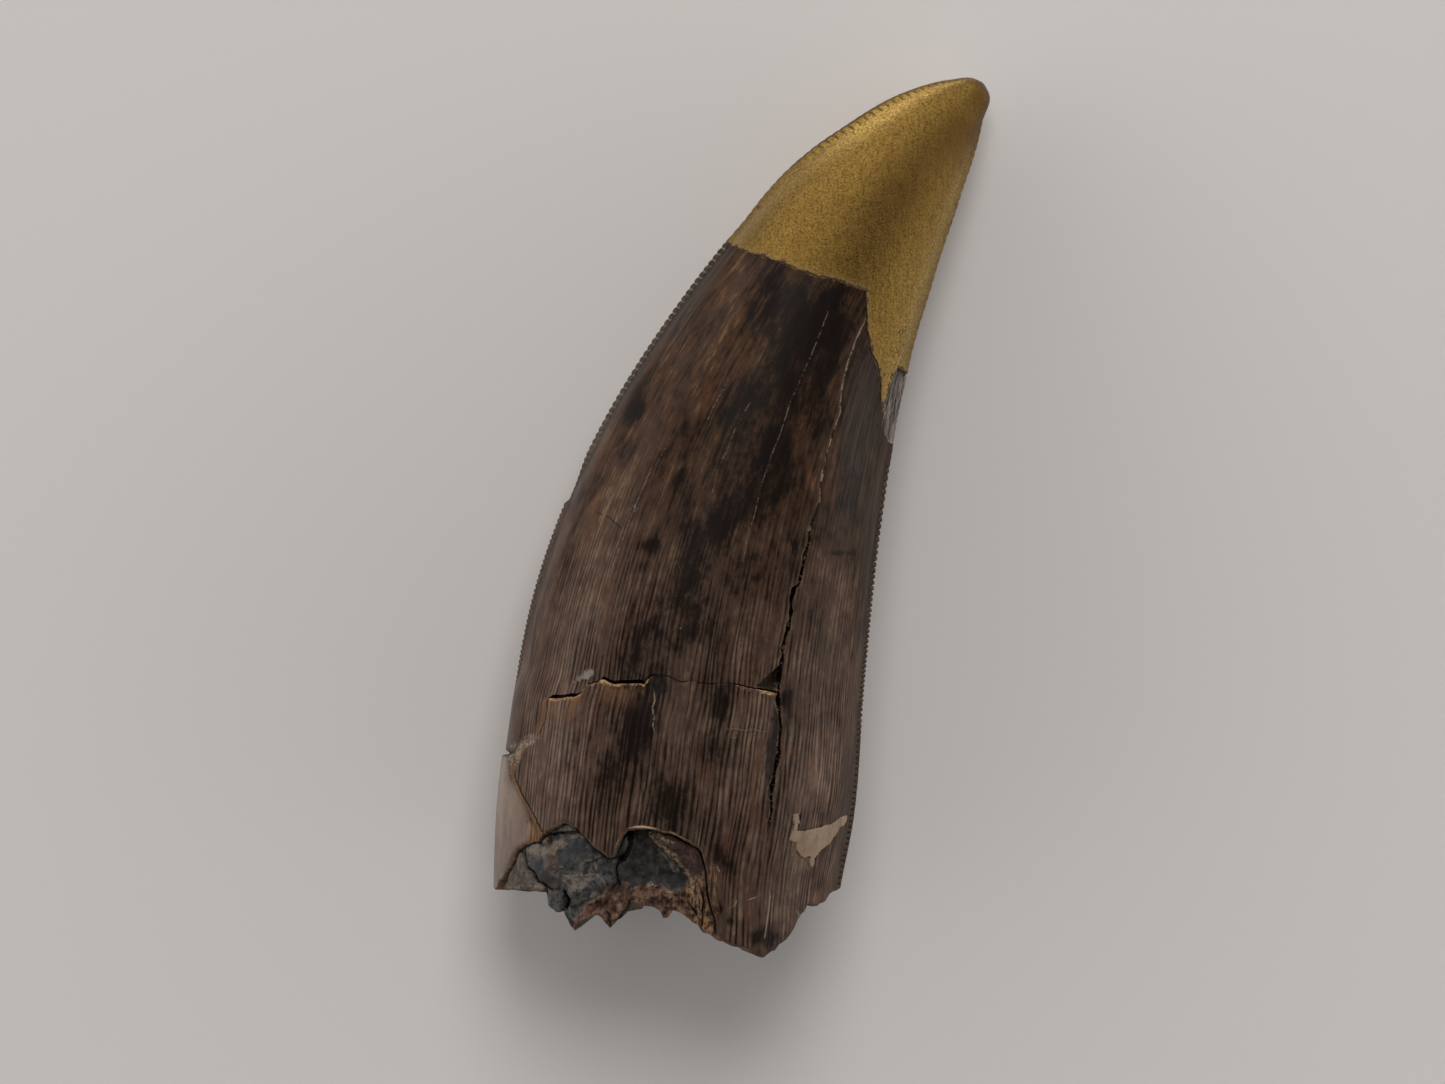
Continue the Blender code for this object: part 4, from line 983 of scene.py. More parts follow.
    # Broken edge of the rim, tan, with a painted highlight on its crest; painted shadow under the gilding's
    # border; gilding run over the enamel
    edge_width = 0.04 + rim_highlight * 0.10 + (grit - 0.5) * 0.12
    rim_edge_and_highlight = (from_rim + wobble * 0.6 - edge_width).rise(0.05, -0.02)
    lightness = (rim_highlight + grit - 0.6).rise(0.2, 0.9)
    # The rim's edge is tan; where the rim spots lie it is painted lighter, a painted highlight on its crest
    f.paint(rim_edge_and_highlight * (0.45 + rim_highlight * 0.5), (88, 64, 46), (176, 150, 118), lightness)
    reached = from_break + wobble * 2.2 + (grit - 0.5) * 0.8
    # Painted shadow: a thin darker line on the enamel just under the gilding's border
    f.paint(reached.rise(0.50, 0.15) * 0.25, (20, 15, 13))
    fringe = reached.rise(0.16, 0.06)
    f.paint(fringe, (92, 68, 36), (118, 98, 66), grit.rise(0.45, 0.6))

    relief = relief - hair * 0.4 - score * 0.8 + white * 0.8 + (grit - 0.5) * 0.3
    relief = relief + strands * (chipped + bare + in_torn) * 1.2
    gloss = from_keel.rise(5.5, 1.5) * in_front * grain.parts()[2].rise(56.0, 34.0)
    rough_parts = (chipped + white + lip + amber + rim_edge_and_highlight + bare + fringe + in_torn) * 0.3
    f.surface(
        relief, 0.020, Roughness=0.40 + mottle * 0.2 + strip * 0.25 + rough_parts,
        Specular_IOR_Level=0.065, Coat_Weight=(gloss * 0.3).or_more(shard * 0.35), Coat_Roughness=0.35,
    )
    return f.owner


def dentine_finish():
    """Crumbly red-brown dentine of the broken rim and the hollow, with tan crumbs."""
    f = Finish(bpy.data.materials.new("broken_dentine"))
    grain = f.field("grain")
    lump = f.noise(grain, 1.6, 4.0, 0.6)
    grit = f.noise(grain, 7.0, 3.0, 0.6)
    f.colour = f.mix(lump.rise(0.35, 0.65), (46, 32, 26), (92, 68, 50))
    f.paint(grit.rise(0.55, 0.7) * 0.6, (142, 114, 86))
    f.paint(f.field("course").parts()[2] * 0.9, (70, 50, 38), (132, 104, 77), grit.rise(0.4, 0.6))
    f.surface(lump * 0.6 + grit * 0.4, 0.12, Roughness=0.72 + grit * 0.15)
    return f.owner


crown_finishes = [finished_enamel(), dentine_finish()]
finish_of_ring = (np.arange(len(all_v)) < inner_rings).astype(int)
crown = skin("enamel_crown", crown_places, crown_fields, crown_finishes, finish_of_ring)
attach(crown, "root")
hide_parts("crown")

# The restored tip is modelled putty with a sprayed gold finish, fine-grained and a little dull.
# It carries the line of the serrated edges on to the point, and a tail of it runs down the
# rear edge. Its skin starts just over the broken enamel.

TIP_ROWS = 228
TIP_ROWS_A_DENTICLE = 6
# Pits of the gold, and places of painted shade down its middle, as soft ovals
PITS = [
    (12.6, 14.4, 0.8, 0.9, 0.3, 1), (12.4, 12.5, 0.7, 1.2, 0.1, 0.9), (11.2, 11.6, 0.4, 1.9, 0.1, 0.8),
    (1.2, 24.5, 0.3, 0.3, 0, 1.2), (0.85, 22.3, 0.25, 0.4, 0, 1.2),
]
PAINTED_SHADE_SPOTS = [
    (12.5, 25.4, 3.6, 7, 0.72, 0.62), (17.5, 30.6, 1.5, 2.2, 0.3, 0.6), (19, 33.4, 0.8, 1.3, 0, 0.6),
]

tip_shares = 1 - (1 - np.linspace(0, 0.985, TIP_ROWS + 1)[:, None]) ** 1.2
gilt_ragged = uneven(gilt, at_rows(gilt), 0.13, 61) - 0.02 / CROWN_LENGTH
gilt_ragged += 0.06 * rough(tooth(gilt, at_rows(gilt)), 0.2, 64) / CROWN_LENGTH
tip_rows = gilt_ragged + (1 - gilt_ragged) * tip_shares
tip_theta = row_angles(tip_rows)
tip_count = np.arange(TIP_ROWS + 1)[:, None] / TIP_ROWS_A_DENTICLE
tip_from_front, tip_from_rear = from_keels(tip_rows, tip_theta)
tip_places = tooth(tip_rows, tip_theta)
fade = ease(1 - tip_rows, 0.01, 0.10)
tip_proud = bell(tip_from_front, 0.13) * fade * (KEEL_HEIGHT + 0.05 + 0.05 * bead(tip_count))
tip_proud += bell(tip_from_rear, 0.12) * fade * (0.20 + 0.09 * bead(tip_count * 0.9))
tip_proud += 0.04 * rough(tip_places, 3.0, 62) + 0.012 * rough(tip_places, 0.5, 63)
tip_proud += 0.05 * (1 - tip_shares) ** 40 + 0.02
tip_proud -= 0.10 * bell(tip_places[..., 0] - 0.8, 0.25) * bell(tip_places[..., 1] - 22.1, 0.2)

under_v = gilt_ragged + by_ring(0.30, 0.14, 0.03) / CROWN_LENGTH
under_proud = tip_proud[0] - by_ring(0.60, 0.34, 0.10)
joint_v = np.mean(gilt) + (gilt_ragged - np.mean(gilt)) * joint_reach[::-1] ** 2 + 0.25 / CROWN_LENGTH
tip_v = np.concatenate([joint_v, under_v, tip_rows])
tip_reach = np.ones_like(tip_v)
tip_reach[:len(joint_v)] = joint_reach[::-1]
tip_out = np.concatenate([np.zeros_like(joint_v), under_proud, tip_proud])
all_tip_theta = row_angles(tip_v)
all_tip = tooth(tip_v, all_tip_theta, tip_reach, tip_out)


def on_tip_rings(values, inside):
    """A value known on the outer rows of the tip, with one value on the rings inside."""
    hidden = np.full((len(joint_v) + len(under_v), tip_v.shape[1]), inside)
    return np.concatenate([hidden, np.broadcast_to(values, tip_rows.shape)])


# A painted highlight: a bright band beside each keel, on the face, where the flanks would catch the light
tx, ty = all_tip[..., 0], all_tip[..., 1]
tip_face = np.sin(all_tip_theta) > 0
from_border = np.where(tip_face, np.abs(beside(tx, ty, GILT_BREAK)[0]), FAR)
painted_highlight_band = bell(on_tip_rings(tip_from_front, FAR) - 0.30, 0.20) * (0.36 + 0.44 * ease(tx, 4.0, 11.0))
painted_highlight_band *= 1 - ease(tx, 16.4, 19.2)
painted_highlight_band += 0.45 * bell(all_tip_theta - math.pi + 0.30, 0.20) * (1 - ease(ty, 26.0, 31.0))
tip_fields = {
    "own": all_tip,
    "margins": triple(
        np.minimum((tip_v - gilt) * CROWN_LENGTH, from_border),
        on_tip_rings(tip_from_front * HALF_DEPTH, FAR), tip_face * spots(tx, ty, PITS),
    ),
    "tip_denticles_and_painted_light": triple(
        on_tip_rings(tip_count, 0.0), tip_face * painted_highlight_band, tip_face * spots(tx, ty, PAINTED_SHADE_SPOTS),
    ),
}


def gold_finish():
    """Sprayed gold: metal with a fine grain of dark and bright specks, duller along the keel, with a
    painted highlight beside the keels and painted shade down its middle.
    """
    f = Finish(bpy.data.materials.new("sprayed_gold"))
    own = f.field("own")
    start, from_keel, pits = f.field("margins").parts()
    count, bright, dim = f.field("tip_denticles_and_painted_light").parts()
    fine = f.noise(own, 5.4, 4.0, 0.7) - 0.5
    specks = f.noise(own, 10.0, 2.0, 0.6) - 0.5
    cloud = f.noise(own, 0.35, 3.0)
    holes = f.noise(own, 3.6, 2.0, 0.5) - 0.5
    brushed = f.noise(own, 3.0, 3.0, stretch=(1.4, 0.25, 1)) - 0.5
    tone = 0.52 + fine * 1.6 + specks * 0.9 + brushed * 0.5
    f.colour = f.mix(tone.rise(0.0, 1.0), (62, 44, 19), (134, 107, 52))
    f.paint(cloud.rise(0.5, 0.75) * 0.3, (100, 70, 34))
    # Painted shade: the gold is darker down its middle
    f.paint(dim * (0.8 + fine * 1.5), (70, 47, 20))
    # Painted highlight: the gold is lighter in the bands beside the keels
    f.paint(bright * (0.8 + fine * 1.2), (138, 108, 54), (226, 190, 112), tone.rise(0.1, 0.9))
    edge = (start + fine * 1.2).rise(0.50, 0.0) * (specks + 0.5).rise(0.3, 0.6)
    f.paint(edge * 0.5, (124, 104, 76))
    f.paint((pits * 0.55 + holes * 2.4).rise(0.60, 0.78) * 0.85, (58, 42, 26))
    dull = from_keel.rise(0.36, 0.16)
    f.paint(dull * 0.8, (62, 50, 38))
    slot = 1 - f.node("Math", {"operation": "PINGPONG"}, {0: count, 1: 0.5}).rise(0.06, 0.2)
    marks = slot * from_keel.between(0.30, 0.45, 1.0, 1.8) * start.rise(7.0, 11.0)
    f.paint(marks * 0.75, (52, 37, 18))
    ragged = f.noise(own, 1.5, 4.0, 0.6) - 0.5
    lost = (start + ragged * 1.3 - 0.08).rise(0.05, -0.05)
    f.paint(lost, (44, 32, 22), (104, 80, 46), specks.rise(-0.05, 0.15))
    f.surface(
        fine * 1.2 + specks * 0.7 + brushed * 0.3, 0.04, Specular_IOR_Level=0.12,
        Metallic=(0.92 - edge * 0.4 - dull * 0.4) * (1 - lost),
        Roughness=0.38 + specks * 0.2 + dull * 0.15 + edge * 0.15,
    )
    return f.owner


gilded_tip = skin("gilded_point", all_tip, tip_fields, [gold_finish()])
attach(gilded_tip, "root")
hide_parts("gilded_tip")

# The stone that fills the hollow of the crown shows in its two broken openings, where it lies
# 0.06 to 0.9 mm under the crown's surface. It is dark blue-grey in angular lumps, with red-brown
# crumbs of dentine and spikes along its foot.

STONE_FOOT = [
    (-19.9, -29.3), (-19.4, -29.6), (-17.1, -29.6), (-15.8, -29.7), (-15.7, -30.3), (-15.6, -30.7),
    (-15, -31.3), (-14.65, -31.35), (-14.4, -31.1), (-14, -31.8), (-13.8, -32.4), (-13.45, -32.7),
    (-13.1, -32.3), (-12.9, -32), (-12.4, -31.65), (-11.6, -31.5), (-11.2, -31.7), (-10.85, -32.2),
    (-10.55, -32.55), (-10.35, -32.1), (-10, -31.8), (-9.45, -31.5), (-9.2, -30.9), (-8.9, -30.45),
    (-8.45, -30.45), (-7.8, -30.8), (-7.2, -30.8), (-6.6, -31.1), (-6.25, -31.65), (-5.9, -31.6),
    (-5.5, -31.1), (-4.9, -31.3), (-4, -32), (-3.6, -32.2), (-3.2, -32.7), (-2.4, -33.1), (0, -32),
    (8.1, -26.5),
]
STONE_FOOT_BEHIND = [(-19.9, -28.6), (-12, -26.9), (-4, -28.6), (2.1, -30.2), (8.1, -26.5)]
STONE_GAP = 0.3
STONE_SHOULDER = 0.16
STONE_COLUMNS = 290
STONE_HIDDEN_COLUMNS = 50
STONE_ROWS = 210
FACET = [
    (-17.9, -26.4), (-19.6, -29.7), (-15.7, -29.8), (-15.4, -29.4), (-16.2, -29.1), (-16.6, -28.5),
    (-17.1, -27.8), (-17.4, -27.1),
]
FRONT_LUMP = [
    (-17.9, -26.4), (-17.4, -26), (-17.1, -25.8), (-16.2, -25.8), (-15.6, -26), (-15.1, -26.5),
    (-14.9, -27.4), (-14.6, -28.6), (-14.6, -29.4), (-15.4, -29.45), (-16.2, -29.1), (-16.6, -28.5),
    (-17.06, -27.8), (-17.4, -27.1),
]
BIG_LUMP = [
    (-15.3, -26.2), (-15.2, -25.6), (-14.4, -25.2), (-13.6, -24.9), (-12.9, -25), (-12.2, -25.5),
    (-11.2, -26.4), (-10.6, -26.9), (-10, -27.3), (-10.1, -28.6), (-10.3, -29.4), (-11.2, -29.8),
    (-12, -30.2), (-12.8, -30.8), (-13.8, -30.9), (-14.3, -30), (-14.5, -29.2), (-14.8, -28.2),
]
UPPER_FACE = [
    (-14.9, -26.6), (-14.6, -25.9), (-13.4, -25.3), (-12.3, -25.6), (-11.3, -26.6), (-11.2, -27),
    (-12.2, -27.4), (-13.6, -27.9), (-14.5, -27.9),
]
LOW_LUMP = [
    (-15.8, -29.6), (-14.6, -29.5), (-14.3, -30), (-14.35, -31), (-14.65, -31.3), (-15, -31.25),
    (-15.6, -30.7),
]
FLAKE = [(-15.4, -25.05), (-14.9, -24.1), (-13.7, -24), (-12.8, -24.6), (-13.3, -24.95), (-14.4, -25.05)]
DARK_RECESS = [
    (-8.85, -25), (-7.4, -25), (-6.7, -25.7), (-5.7, -26.5), (-5.1, -27.1), (-4.5, -27.7), (-4.2, -28.4),
    (-4.1, -29.3), (-5.5, -29.4), (-6.4, -29), (-7.4, -28.9), (-8.7, -29.1), (-9.6, -28.9), (-9.7, -28.2),
    (-9.3, -27.1), (-9, -26.2),
]
BROWN_SHELF = [
    (-7.1, -24.8), (-6.8, -24.6), (-5.5, -25), (-4, -25.7), (-3, -26.6), (-2.8, -27.6), (-3.1, -28.7),
    (-3.8, -29.2), (-4, -29.05), (-4.2, -28.2), (-4.46, -27.7), (-5.1, -27.1), (-5.67, -26.5),
    (-6.3, -25.95), (-6.87, -25.6),
]
CRUMBS = [
    (-10.4, -29.2), (-9.6, -29), (-8.7, -29.2), (-7.4, -29), (-6.4, -29.1), (-5.5, -29.5), (-4.2, -29.4),
    (-3.8, -29.2), (-3, -28.6), (-2.4, -28.6), (-2.2, -33.8), (-3.8, -33.2), (-6.1, -32.4), (-8.9, -31.2),
    (-9.4, -32.2), (-10.5, -33.2), (-11.3, -32.4), (-13.4, -33.4), (-13.9, -32.4), (-13.3, -31.4),
    (-12.3, -30.6), (-11.4, -30),
]
# Black clefts, wide and narrow, and fine tan lines
WIDE_CLEFTS = [
    [(-8.9, -24.9), (-9.05, -26), (-9.35, -26.7), (-9.8, -27.2)],
    [(-14.1, -29.7), (-13.95, -30.2), (-14.2, -30.8)],
]
CLEFTS = [
    [(-9.8, -27.2), (-10.05, -27.9), (-10.15, -28.6), (-9.8, -29.2)],
    [(-15.2, -25.1), (-14.4, -25), (-13.8, -24.85), (-13.3, -24.85)],
    [(-17.5, -26.6), (-17.1, -27.8), (-16.6, -28.5), (-16.2, -29.1), (-15.4, -29.45)],
    [(-9.9, -32), (-9.4, -31.3), (-8.9, -30.5)], [(-10.95, -31.2), (-10.7, -31.8), (-10.5, -32.5)],
    [(-3.1, -29.8), (-3.25, -31.5), (-3.3, -32.4)], [(-4.4, -30.3), (-4, -30.8), (-3.8, -31.4)],
]
STONE_LINES = [
    [(-14.4, -27.7), (-13.7, -27.9), (-12.9, -27.6), (-12.2, -27.2), (-11.2, -26.8)],
    [(-6.6, -26.3), (-5.8, -27.2), (-5.3, -28)], [(-6.1, -26.4), (-5, -27.9)],
    [(-19.2, -29.4), (-17, -29.4), (-15.9, -29.5)], [(-19.3, -29.3), (-18.5, -27.8), (-17.9, -26.6)],
    [(-11.9, -27.3), (-11.4, -28.6), (-10.9, -29.4)], [(-14.2, -28.5), (-13, -28.2), (-12.1, -28.4)],
]
SHELF_LINES = [
    [(-7.25, -24.95), (-6.9, -25.7), (-6.2, -26.2), (-5.4, -27), (-4.6, -27.7), (-4.2, -28.5),
     (-3.9, -29.3)],
    [(-6.6, -24.9), (-6.3, -25.5), (-5.7, -25.9)],
]
# Patches of colour as soft ovals
GREY_TAN = [
    (-16.5, -26.4, 0.9, 0.55, 0, 1.5), (-14.8, -26, 0.9, 0.45, 0.3, 1.5), (-14.3, -24.7, 0.9, 0.3, 0, 1.3),
    (-13.2, -28.9, 1.2, 0.8, 0.2, 1.1), (-11.6, -30, 0.7, 0.4, 0, 1.1), (-8.1, -25.3, 0.7, 0.3, 0, 0.5),
    (-13, -25.3, 0.9, 0.2, -0.3, 0.9), (-9.6, -30.6, 0.35, 0.9, 0.3, 0.7), (-12, -28.2, 0.6, 0.35, 0, 0.8),
    (-17.9, -28, 0.4, 1.1, -0.4, 0.7),
]
RED_BROWN = [
    (-15.2, -27, 0.55, 0.95, -0.2, 1.1), (-15.5, -28.1, 0.35, 0.3, 0, 1.2), (-4, -26.4, 1, 0.9, -0.4, 0.7),
    (-14.6, -28.9, 0.4, 0.6, 0, 0.8), (-10.7, -29.8, 0.9, 0.6, 0, 0.8), (-12.4, -31, 0.8, 0.5, 0, 0.8),
    (-8.2, -25.4, 0.9, 0.35, 0, 0.6), (-9.5, -28, 0.2, 0.5, 0, 0.5),
]
CREAM = [
    (-7.2, -29.3, 0.45, 0.45, 0, 1.1), (-5.8, -29.8, 0.75, 0.35, 0, 0.9), (-7.9, -30.1, 0.6, 0.3, 0, 0.6),
    (-3.9, -29.85, 0.65, 0.35, 0, 1.4), (-15.75, -25.5, 0.28, 0.35, 0, 1.4),
    (-2.7, -32.6, 0.4, 0.7, -0.4, 0.8),
]
# Near-black spots, most of them in clefts, between lumps and under the front lump
NEAR_BLACK_SPOTS = [
    (-13.2, -26.5, 1.3, 0.55, 0.2, 0.8), (-15.3, -28.9, 0.7, 0.4, 0, 0.9),
    (-14.5, -27.6, 0.35, 0.7, 0, 0.7), (-15.7, -28.6, 0.7, 0.55, 0, 0.9), (-10.8, -31.7, 0.35, 0.7, 0, 1),
    (-13.5, -32.4, 0.35, 0.5, 0, 1), (-9.7, -29.3, 0.3, 0.45, 0, 0.9), (-4.1, -30.8, 0.4, 0.5, 0, 0.9),
    (-3.7, -28, 0.4, 0.8, 0, 0.7), (-6.2, -31.4, 0.3, 0.4, 0, 0.5),
]
BLUE = [
    (-16.7, -27.5, 0.35, 0.35, 0, 0.8), (-11, -29, 0.35, 0.6, 0, 0.9), (-4.9, -28.4, 0.7, 0.7, -0.4, 1),
    (-13, -30.4, 0.7, 0.6, 0, 0.6), (-12.7, -26.7, 1.1, 0.7, 0, 0.6), (-7.6, -27.6, 1.2, 0.9, 0, 0.5),
]

stone_theta = np.r_[
    np.linspace(0.08, 2.05, STONE_COLUMNS),
    np.linspace(2.05, 0.08 + 2 * math.pi, STONE_HIDDEN_COLUMNS + 2)[1:-1],
]


def stone_angles(v):
    return np.broadcast_to(stone_theta, (len(v), len(stone_theta)))


stone_foot = crossing(STONE_FOOT, STONE_FOOT_BEHIND, stone_angles)
stone_foot = uneven(stone_foot, stone_theta, 0.08, 71)
over_stone = np.interp(stone_theta, theta[0], rim, period=2 * math.pi)
over_stone = np.min([np.roll(over_stone, turn) for turn in (-2, -1, 0, 1, 2)], axis=0)
stone_mouth = over_stone + MOUTH_LIFT / CROWN_LENGTH
stone_start = np.maximum(stone_mouth, stone_foot + MOUTH_LIFT / CROWN_LENGTH)
shows = ease((over_stone - stone_foot) * CROWN_LENGTH, STONE_SHOULDER, 2 * STONE_SHOULDER)
shows = np.where(np.sin(stone_theta) > 0, shows, 0.0)
below_rim = np.where(shows > 0, over_stone - 0.10 / CROWN_LENGTH, stone_start)
plug_v = stone_start + (HOLLOW_TOP - STONE_GAP / CROWN_LENGTH - stone_start) * wall_shares
bare_shares = np.r_[np.linspace(0, 0.03, 12)[:-1], np.linspace(0.03, 1, STONE_ROWS)][:, None]
bare_v = below_rim + (stone_foot - below_rim) * bare_shares
bare = tooth(bare_v, stone_theta)


def shifted(places):
    """The x and y of places, shifted by up to 0.3 mm so that outlines drawn on them are irregular."""
    shift = 0.20 * rough(places, 0.9, 76) + 0.10 * rough(places, 0.35, 77)
    other = 0.20 * rough(places, 0.9, 78) + 0.10 * rough(places, 0.35, 79)
    return places[..., 0] + shift, places[..., 1] + other


bx, by = shifted(bare)
in_crumbs = ease(within(bx, by, CRUMBS), -0.15, 0.25)
stone_out = -0.42 + rough(bare, 1.1, 72) * 0.10 + rough(bare, 0.45, 73) * 0.07 + rough(bare, 0.2, 80) * 0.03
stone_out += in_crumbs * (0.02 + rough(bare, 0.6, 74) * 0.28 + rough(bare, 0.28, 75) * 0.16)
# Mounds, each a quarter round from its outline to its shoulder and then level: height, shoulder
for outline, height, shoulder in (
    (FACET, 0.30, 0.9), (FRONT_LUMP, 0.26, 1.0), (LOW_LUMP, 0.22, 0.5), (BIG_LUMP, 0.18, 0.9),
    (UPPER_FACE, 0.10, 0.4), (FLAKE, 0.34, 0.15), (BROWN_SHELF, 0.22, 0.5), (DARK_RECESS, -0.40, 0.9),
):
    share_in = np.clip(within(bx, by, outline) / shoulder, 0, 1)
    stone_out += height * np.sqrt(1 - (1 - share_in) ** 2)
stone_out += 0.35 * spots(bx, by, CREAM) + 0.30 * ease(bx, -4.4, -3.3)
for clefts, low, high, deep in ((WIDE_CLEFTS, 0.08, 0.24, 0.5), (CLEFTS, 0.02, 0.12, 0.22)):
    cleft_field = drawn(bx, by, np.ones_like(bx), clefts)
    stone_out -= deep * cleft_field[..., 2] * (1 - ease(np.abs(cleft_field[..., 0]), low, high))
out_share = shows * ease((over_stone - bare_v) * CROWN_LENGTH, 0.0, STONE_SHOULDER)
bare_wall = hollow_wall(bare_v, stone_mouth, stone_theta, STONE_GAP)
bare_out = np.minimum(stone_out, -0.06) * out_share
bare_reach = bare_wall + (1 - bare_wall) * out_share

foot_inset = by_ring(0.93, 0.75, 0.4)
foot_lift = by_ring(0.002, 0.010, 0.006)
foot_v = stone_foot + (np.mean(stone_foot) - stone_foot) * (1 - foot_inset) + foot_lift
stone_v = np.concatenate([plug_v, bare_v, foot_v])
plug_reach = hollow_wall(plug_v, stone_mouth, stone_theta, STONE_GAP)
stone_reaches = np.concatenate([plug_reach, bare_reach, bare_reach[-1] * foot_inset])
stone_outs = np.concatenate([np.zeros_like(plug_v), bare_out, bare_out[-1] * foot_inset])
stone_thetas = np.broadcast_to(stone_theta, stone_v.shape)
# The rings run from the foot to the plug's top, so that the skin faces outwards
order = slice(None, None, -1)
stone_places = tooth(stone_v, stone_thetas, stone_reaches, stone_outs)[order]
sx, sy = shifted(tooth(stone_v, stone_thetas)[order])
facing = (np.sin(stone_thetas) > 0)[order].astype(float)


def areas(*outlines):
    """Three outlines as one field, each with a soft edge."""
    return triple(*(facing * ease(within(sx, sy, outline), -0.12, 0.15) for outline in outlines))


stone_fields = {
    "own": stone_places,
    "lumps": areas(CRUMBS, DARK_RECESS, BROWN_SHELF),
    "faces": areas(FACET, UPPER_FACE, FLAKE),
    "patches": triple(*(facing * spots(sx, sy, group) for group in (GREY_TAN, RED_BROWN, CREAM))),
    "tints": triple(
        facing * spots(sx, sy, NEAR_BLACK_SPOTS), facing * spots(sx, sy, BLUE),
        facing * ease(within(sx, sy, TORN_PLACE), -0.2, 0.3),
    ),
    "wide_clefts": drawn(sx, sy, facing, WIDE_CLEFTS),
    "clefts": drawn(sx, sy, facing, CLEFTS),
    "scratches": drawn(sx, sy, facing, STONE_LINES),
    "shelf_lines": drawn(sx, sy, facing, SHELF_LINES),
}


def stone_finish():
    """Dark slate with grey-tan, red-brown and cream patches and brown crumbs; its clefts are painted black
    as painted shade, and its recess darker, partly as painted shade.
    """
    f = Finish(bpy.data.materials.new("pulp_stone"))
    own = f.field("own")
    crumbs, recess, shelf = f.field("lumps").parts()
    facet, upper, flake = f.field("faces").parts()
    tan, red, cream = f.field("patches").parts()
    near_black, blue, torn = f.field("tints").parts()
    cloud = f.noise(own, 0.9, 4.0, 0.6) - 0.5
    grit = f.noise(own, 5.0, 4.0, 0.65) - 0.5
    smudge = f.noise(own, 1.9, 5.0, 0.62, stretch=(1, 0.7, 1)) - 0.5
    fibres = f.noise(own, 2.6, 4.0, 0.6, stretch=(2.2, 0.5, 1)) - 0.5
    f.colour = f.mix((smudge + grit * 0.4).rise(-0.12, 0.14), (29, 30, 32), (76, 73, 69))
    f.paint(upper * 0.7, (27, 29, 33), (56, 56, 57), smudge.rise(-0.12, 0.2))
    f.paint(cloud.rise(0.02, 0.2) * 0.5, (66, 56, 48))
    f.paint((blue * (0.8 + smudge * 3.0)).rise(0.3, 1.0) * 0.7, (40, 45, 52))
    f.paint(facet * 0.9, (54, 46, 41), (92, 80, 70), (smudge + grit * 0.4).rise(-0.14, 0.16))
    # The recess is painted darker: partly the stone's own colour, partly painted shade where it sinks under
    # the rim
    recess_shade = recess * 0.85 * (1 - blue * 0.4)
    f.paint(recess_shade, (25, 25, 27), (58, 50, 45), (smudge + fibres * 0.6).rise(-0.1, 0.2))
    f.paint(shelf * 0.92, (42, 29, 24), (84, 58, 45), (grit + smudge).rise(-0.15, 0.2))
    mixed = (grit * 0.6 + smudge * 0.5 + fibres * 0.8).rise(-0.16, 0.16)
    brown = f.mix(mixed, (56, 38, 30), (118, 88, 68))
    brown = f.mix((cloud * -1.0 + grit * 0.4).rise(0.0, 0.16) * 0.7, brown, (26, 19, 17))
    f.paint((crumbs + smudge * 1.6).rise(0.35, 0.65) * 0.95, brown)
    f.paint((red * (0.9 + grit * 2.4 + smudge * 2.0)).rise(0.25, 0.9) * 0.75, (78, 52, 39))
    f.paint((tan * (0.9 + smudge * 2.6 + grit * 1.4)).rise(0.3, 0.95) * 0.75, (112, 100, 88))
    f.paint((near_black * (0.9 + smudge * 2.0)).rise(0.3, 0.9) * 0.8, (20, 17, 17))
    f.paint(flake * 0.85, (66, 61, 57), (114, 106, 98), fibres.rise(-0.12, 0.12))
    f.paint((cream * (0.9 + grit * 3.0 + smudge * 1.6)).rise(0.45, 0.95) * 0.75, (152, 132, 108))
    f.paint(torn * 0.85, (50, 34, 26), (134, 102, 72), (fibres + grit * 0.5).rise(-0.10, 0.10))
    wobble = grit * 0.35
    line = f.line("scratches", wobble * 0.5, 0.12, 0.03) * (smudge + grit * 0.8).rise(-0.12, 0.06)
    f.paint(line * 0.65, (122, 108, 92))
    line = f.line("shelf_lines", wobble * 0.8, 0.20, 0.06) * (smudge + grit).rise(-0.20, -0.05)
    f.paint(line * 0.85, (110, 86, 64), (170, 146, 116), grit.rise(-0.1, 0.15))
    # Painted shade: the clefts are painted near-black
    cleft = f.line("clefts", wobble * 0.6, 0.11, 0.03) * (smudge + grit * 0.5).rise(-0.16, -0.02)
    f.paint(cleft * 0.9, (10, 9, 9))
    f.paint(f.line("wide_clefts", wobble, 0.22, 0.10), (7, 6, 6))
    f.surface(
        grit * 0.8 + smudge * 0.6 + fibres * crumbs, 0.12, Roughness=0.52 + grit * 0.3 + crumbs * 0.2,
        Specular_IOR_Level=0.25,
    )
    return f.owner


stone = skin("hollow_stone", stone_places, stone_fields, [stone_finish()])
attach(stone, "root")
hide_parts("pulp_matrix")

# The putty patch near the rear edge is a matt tan inlay pressed into a chipped place of the
# enamel and scraped off level. Its sheet follows the surface and dives in at its outline.

PATCH_ROWS = 130
PATCH_COLUMNS = 120
PATCH_V = (0.100, 0.205)
PATCH_ANGLES = (1.95, 3.02)
PATCH_THICKNESS = 0.70
PATCH_STANDS_OUT = 0.03
PATCH_DIVES = 0.55

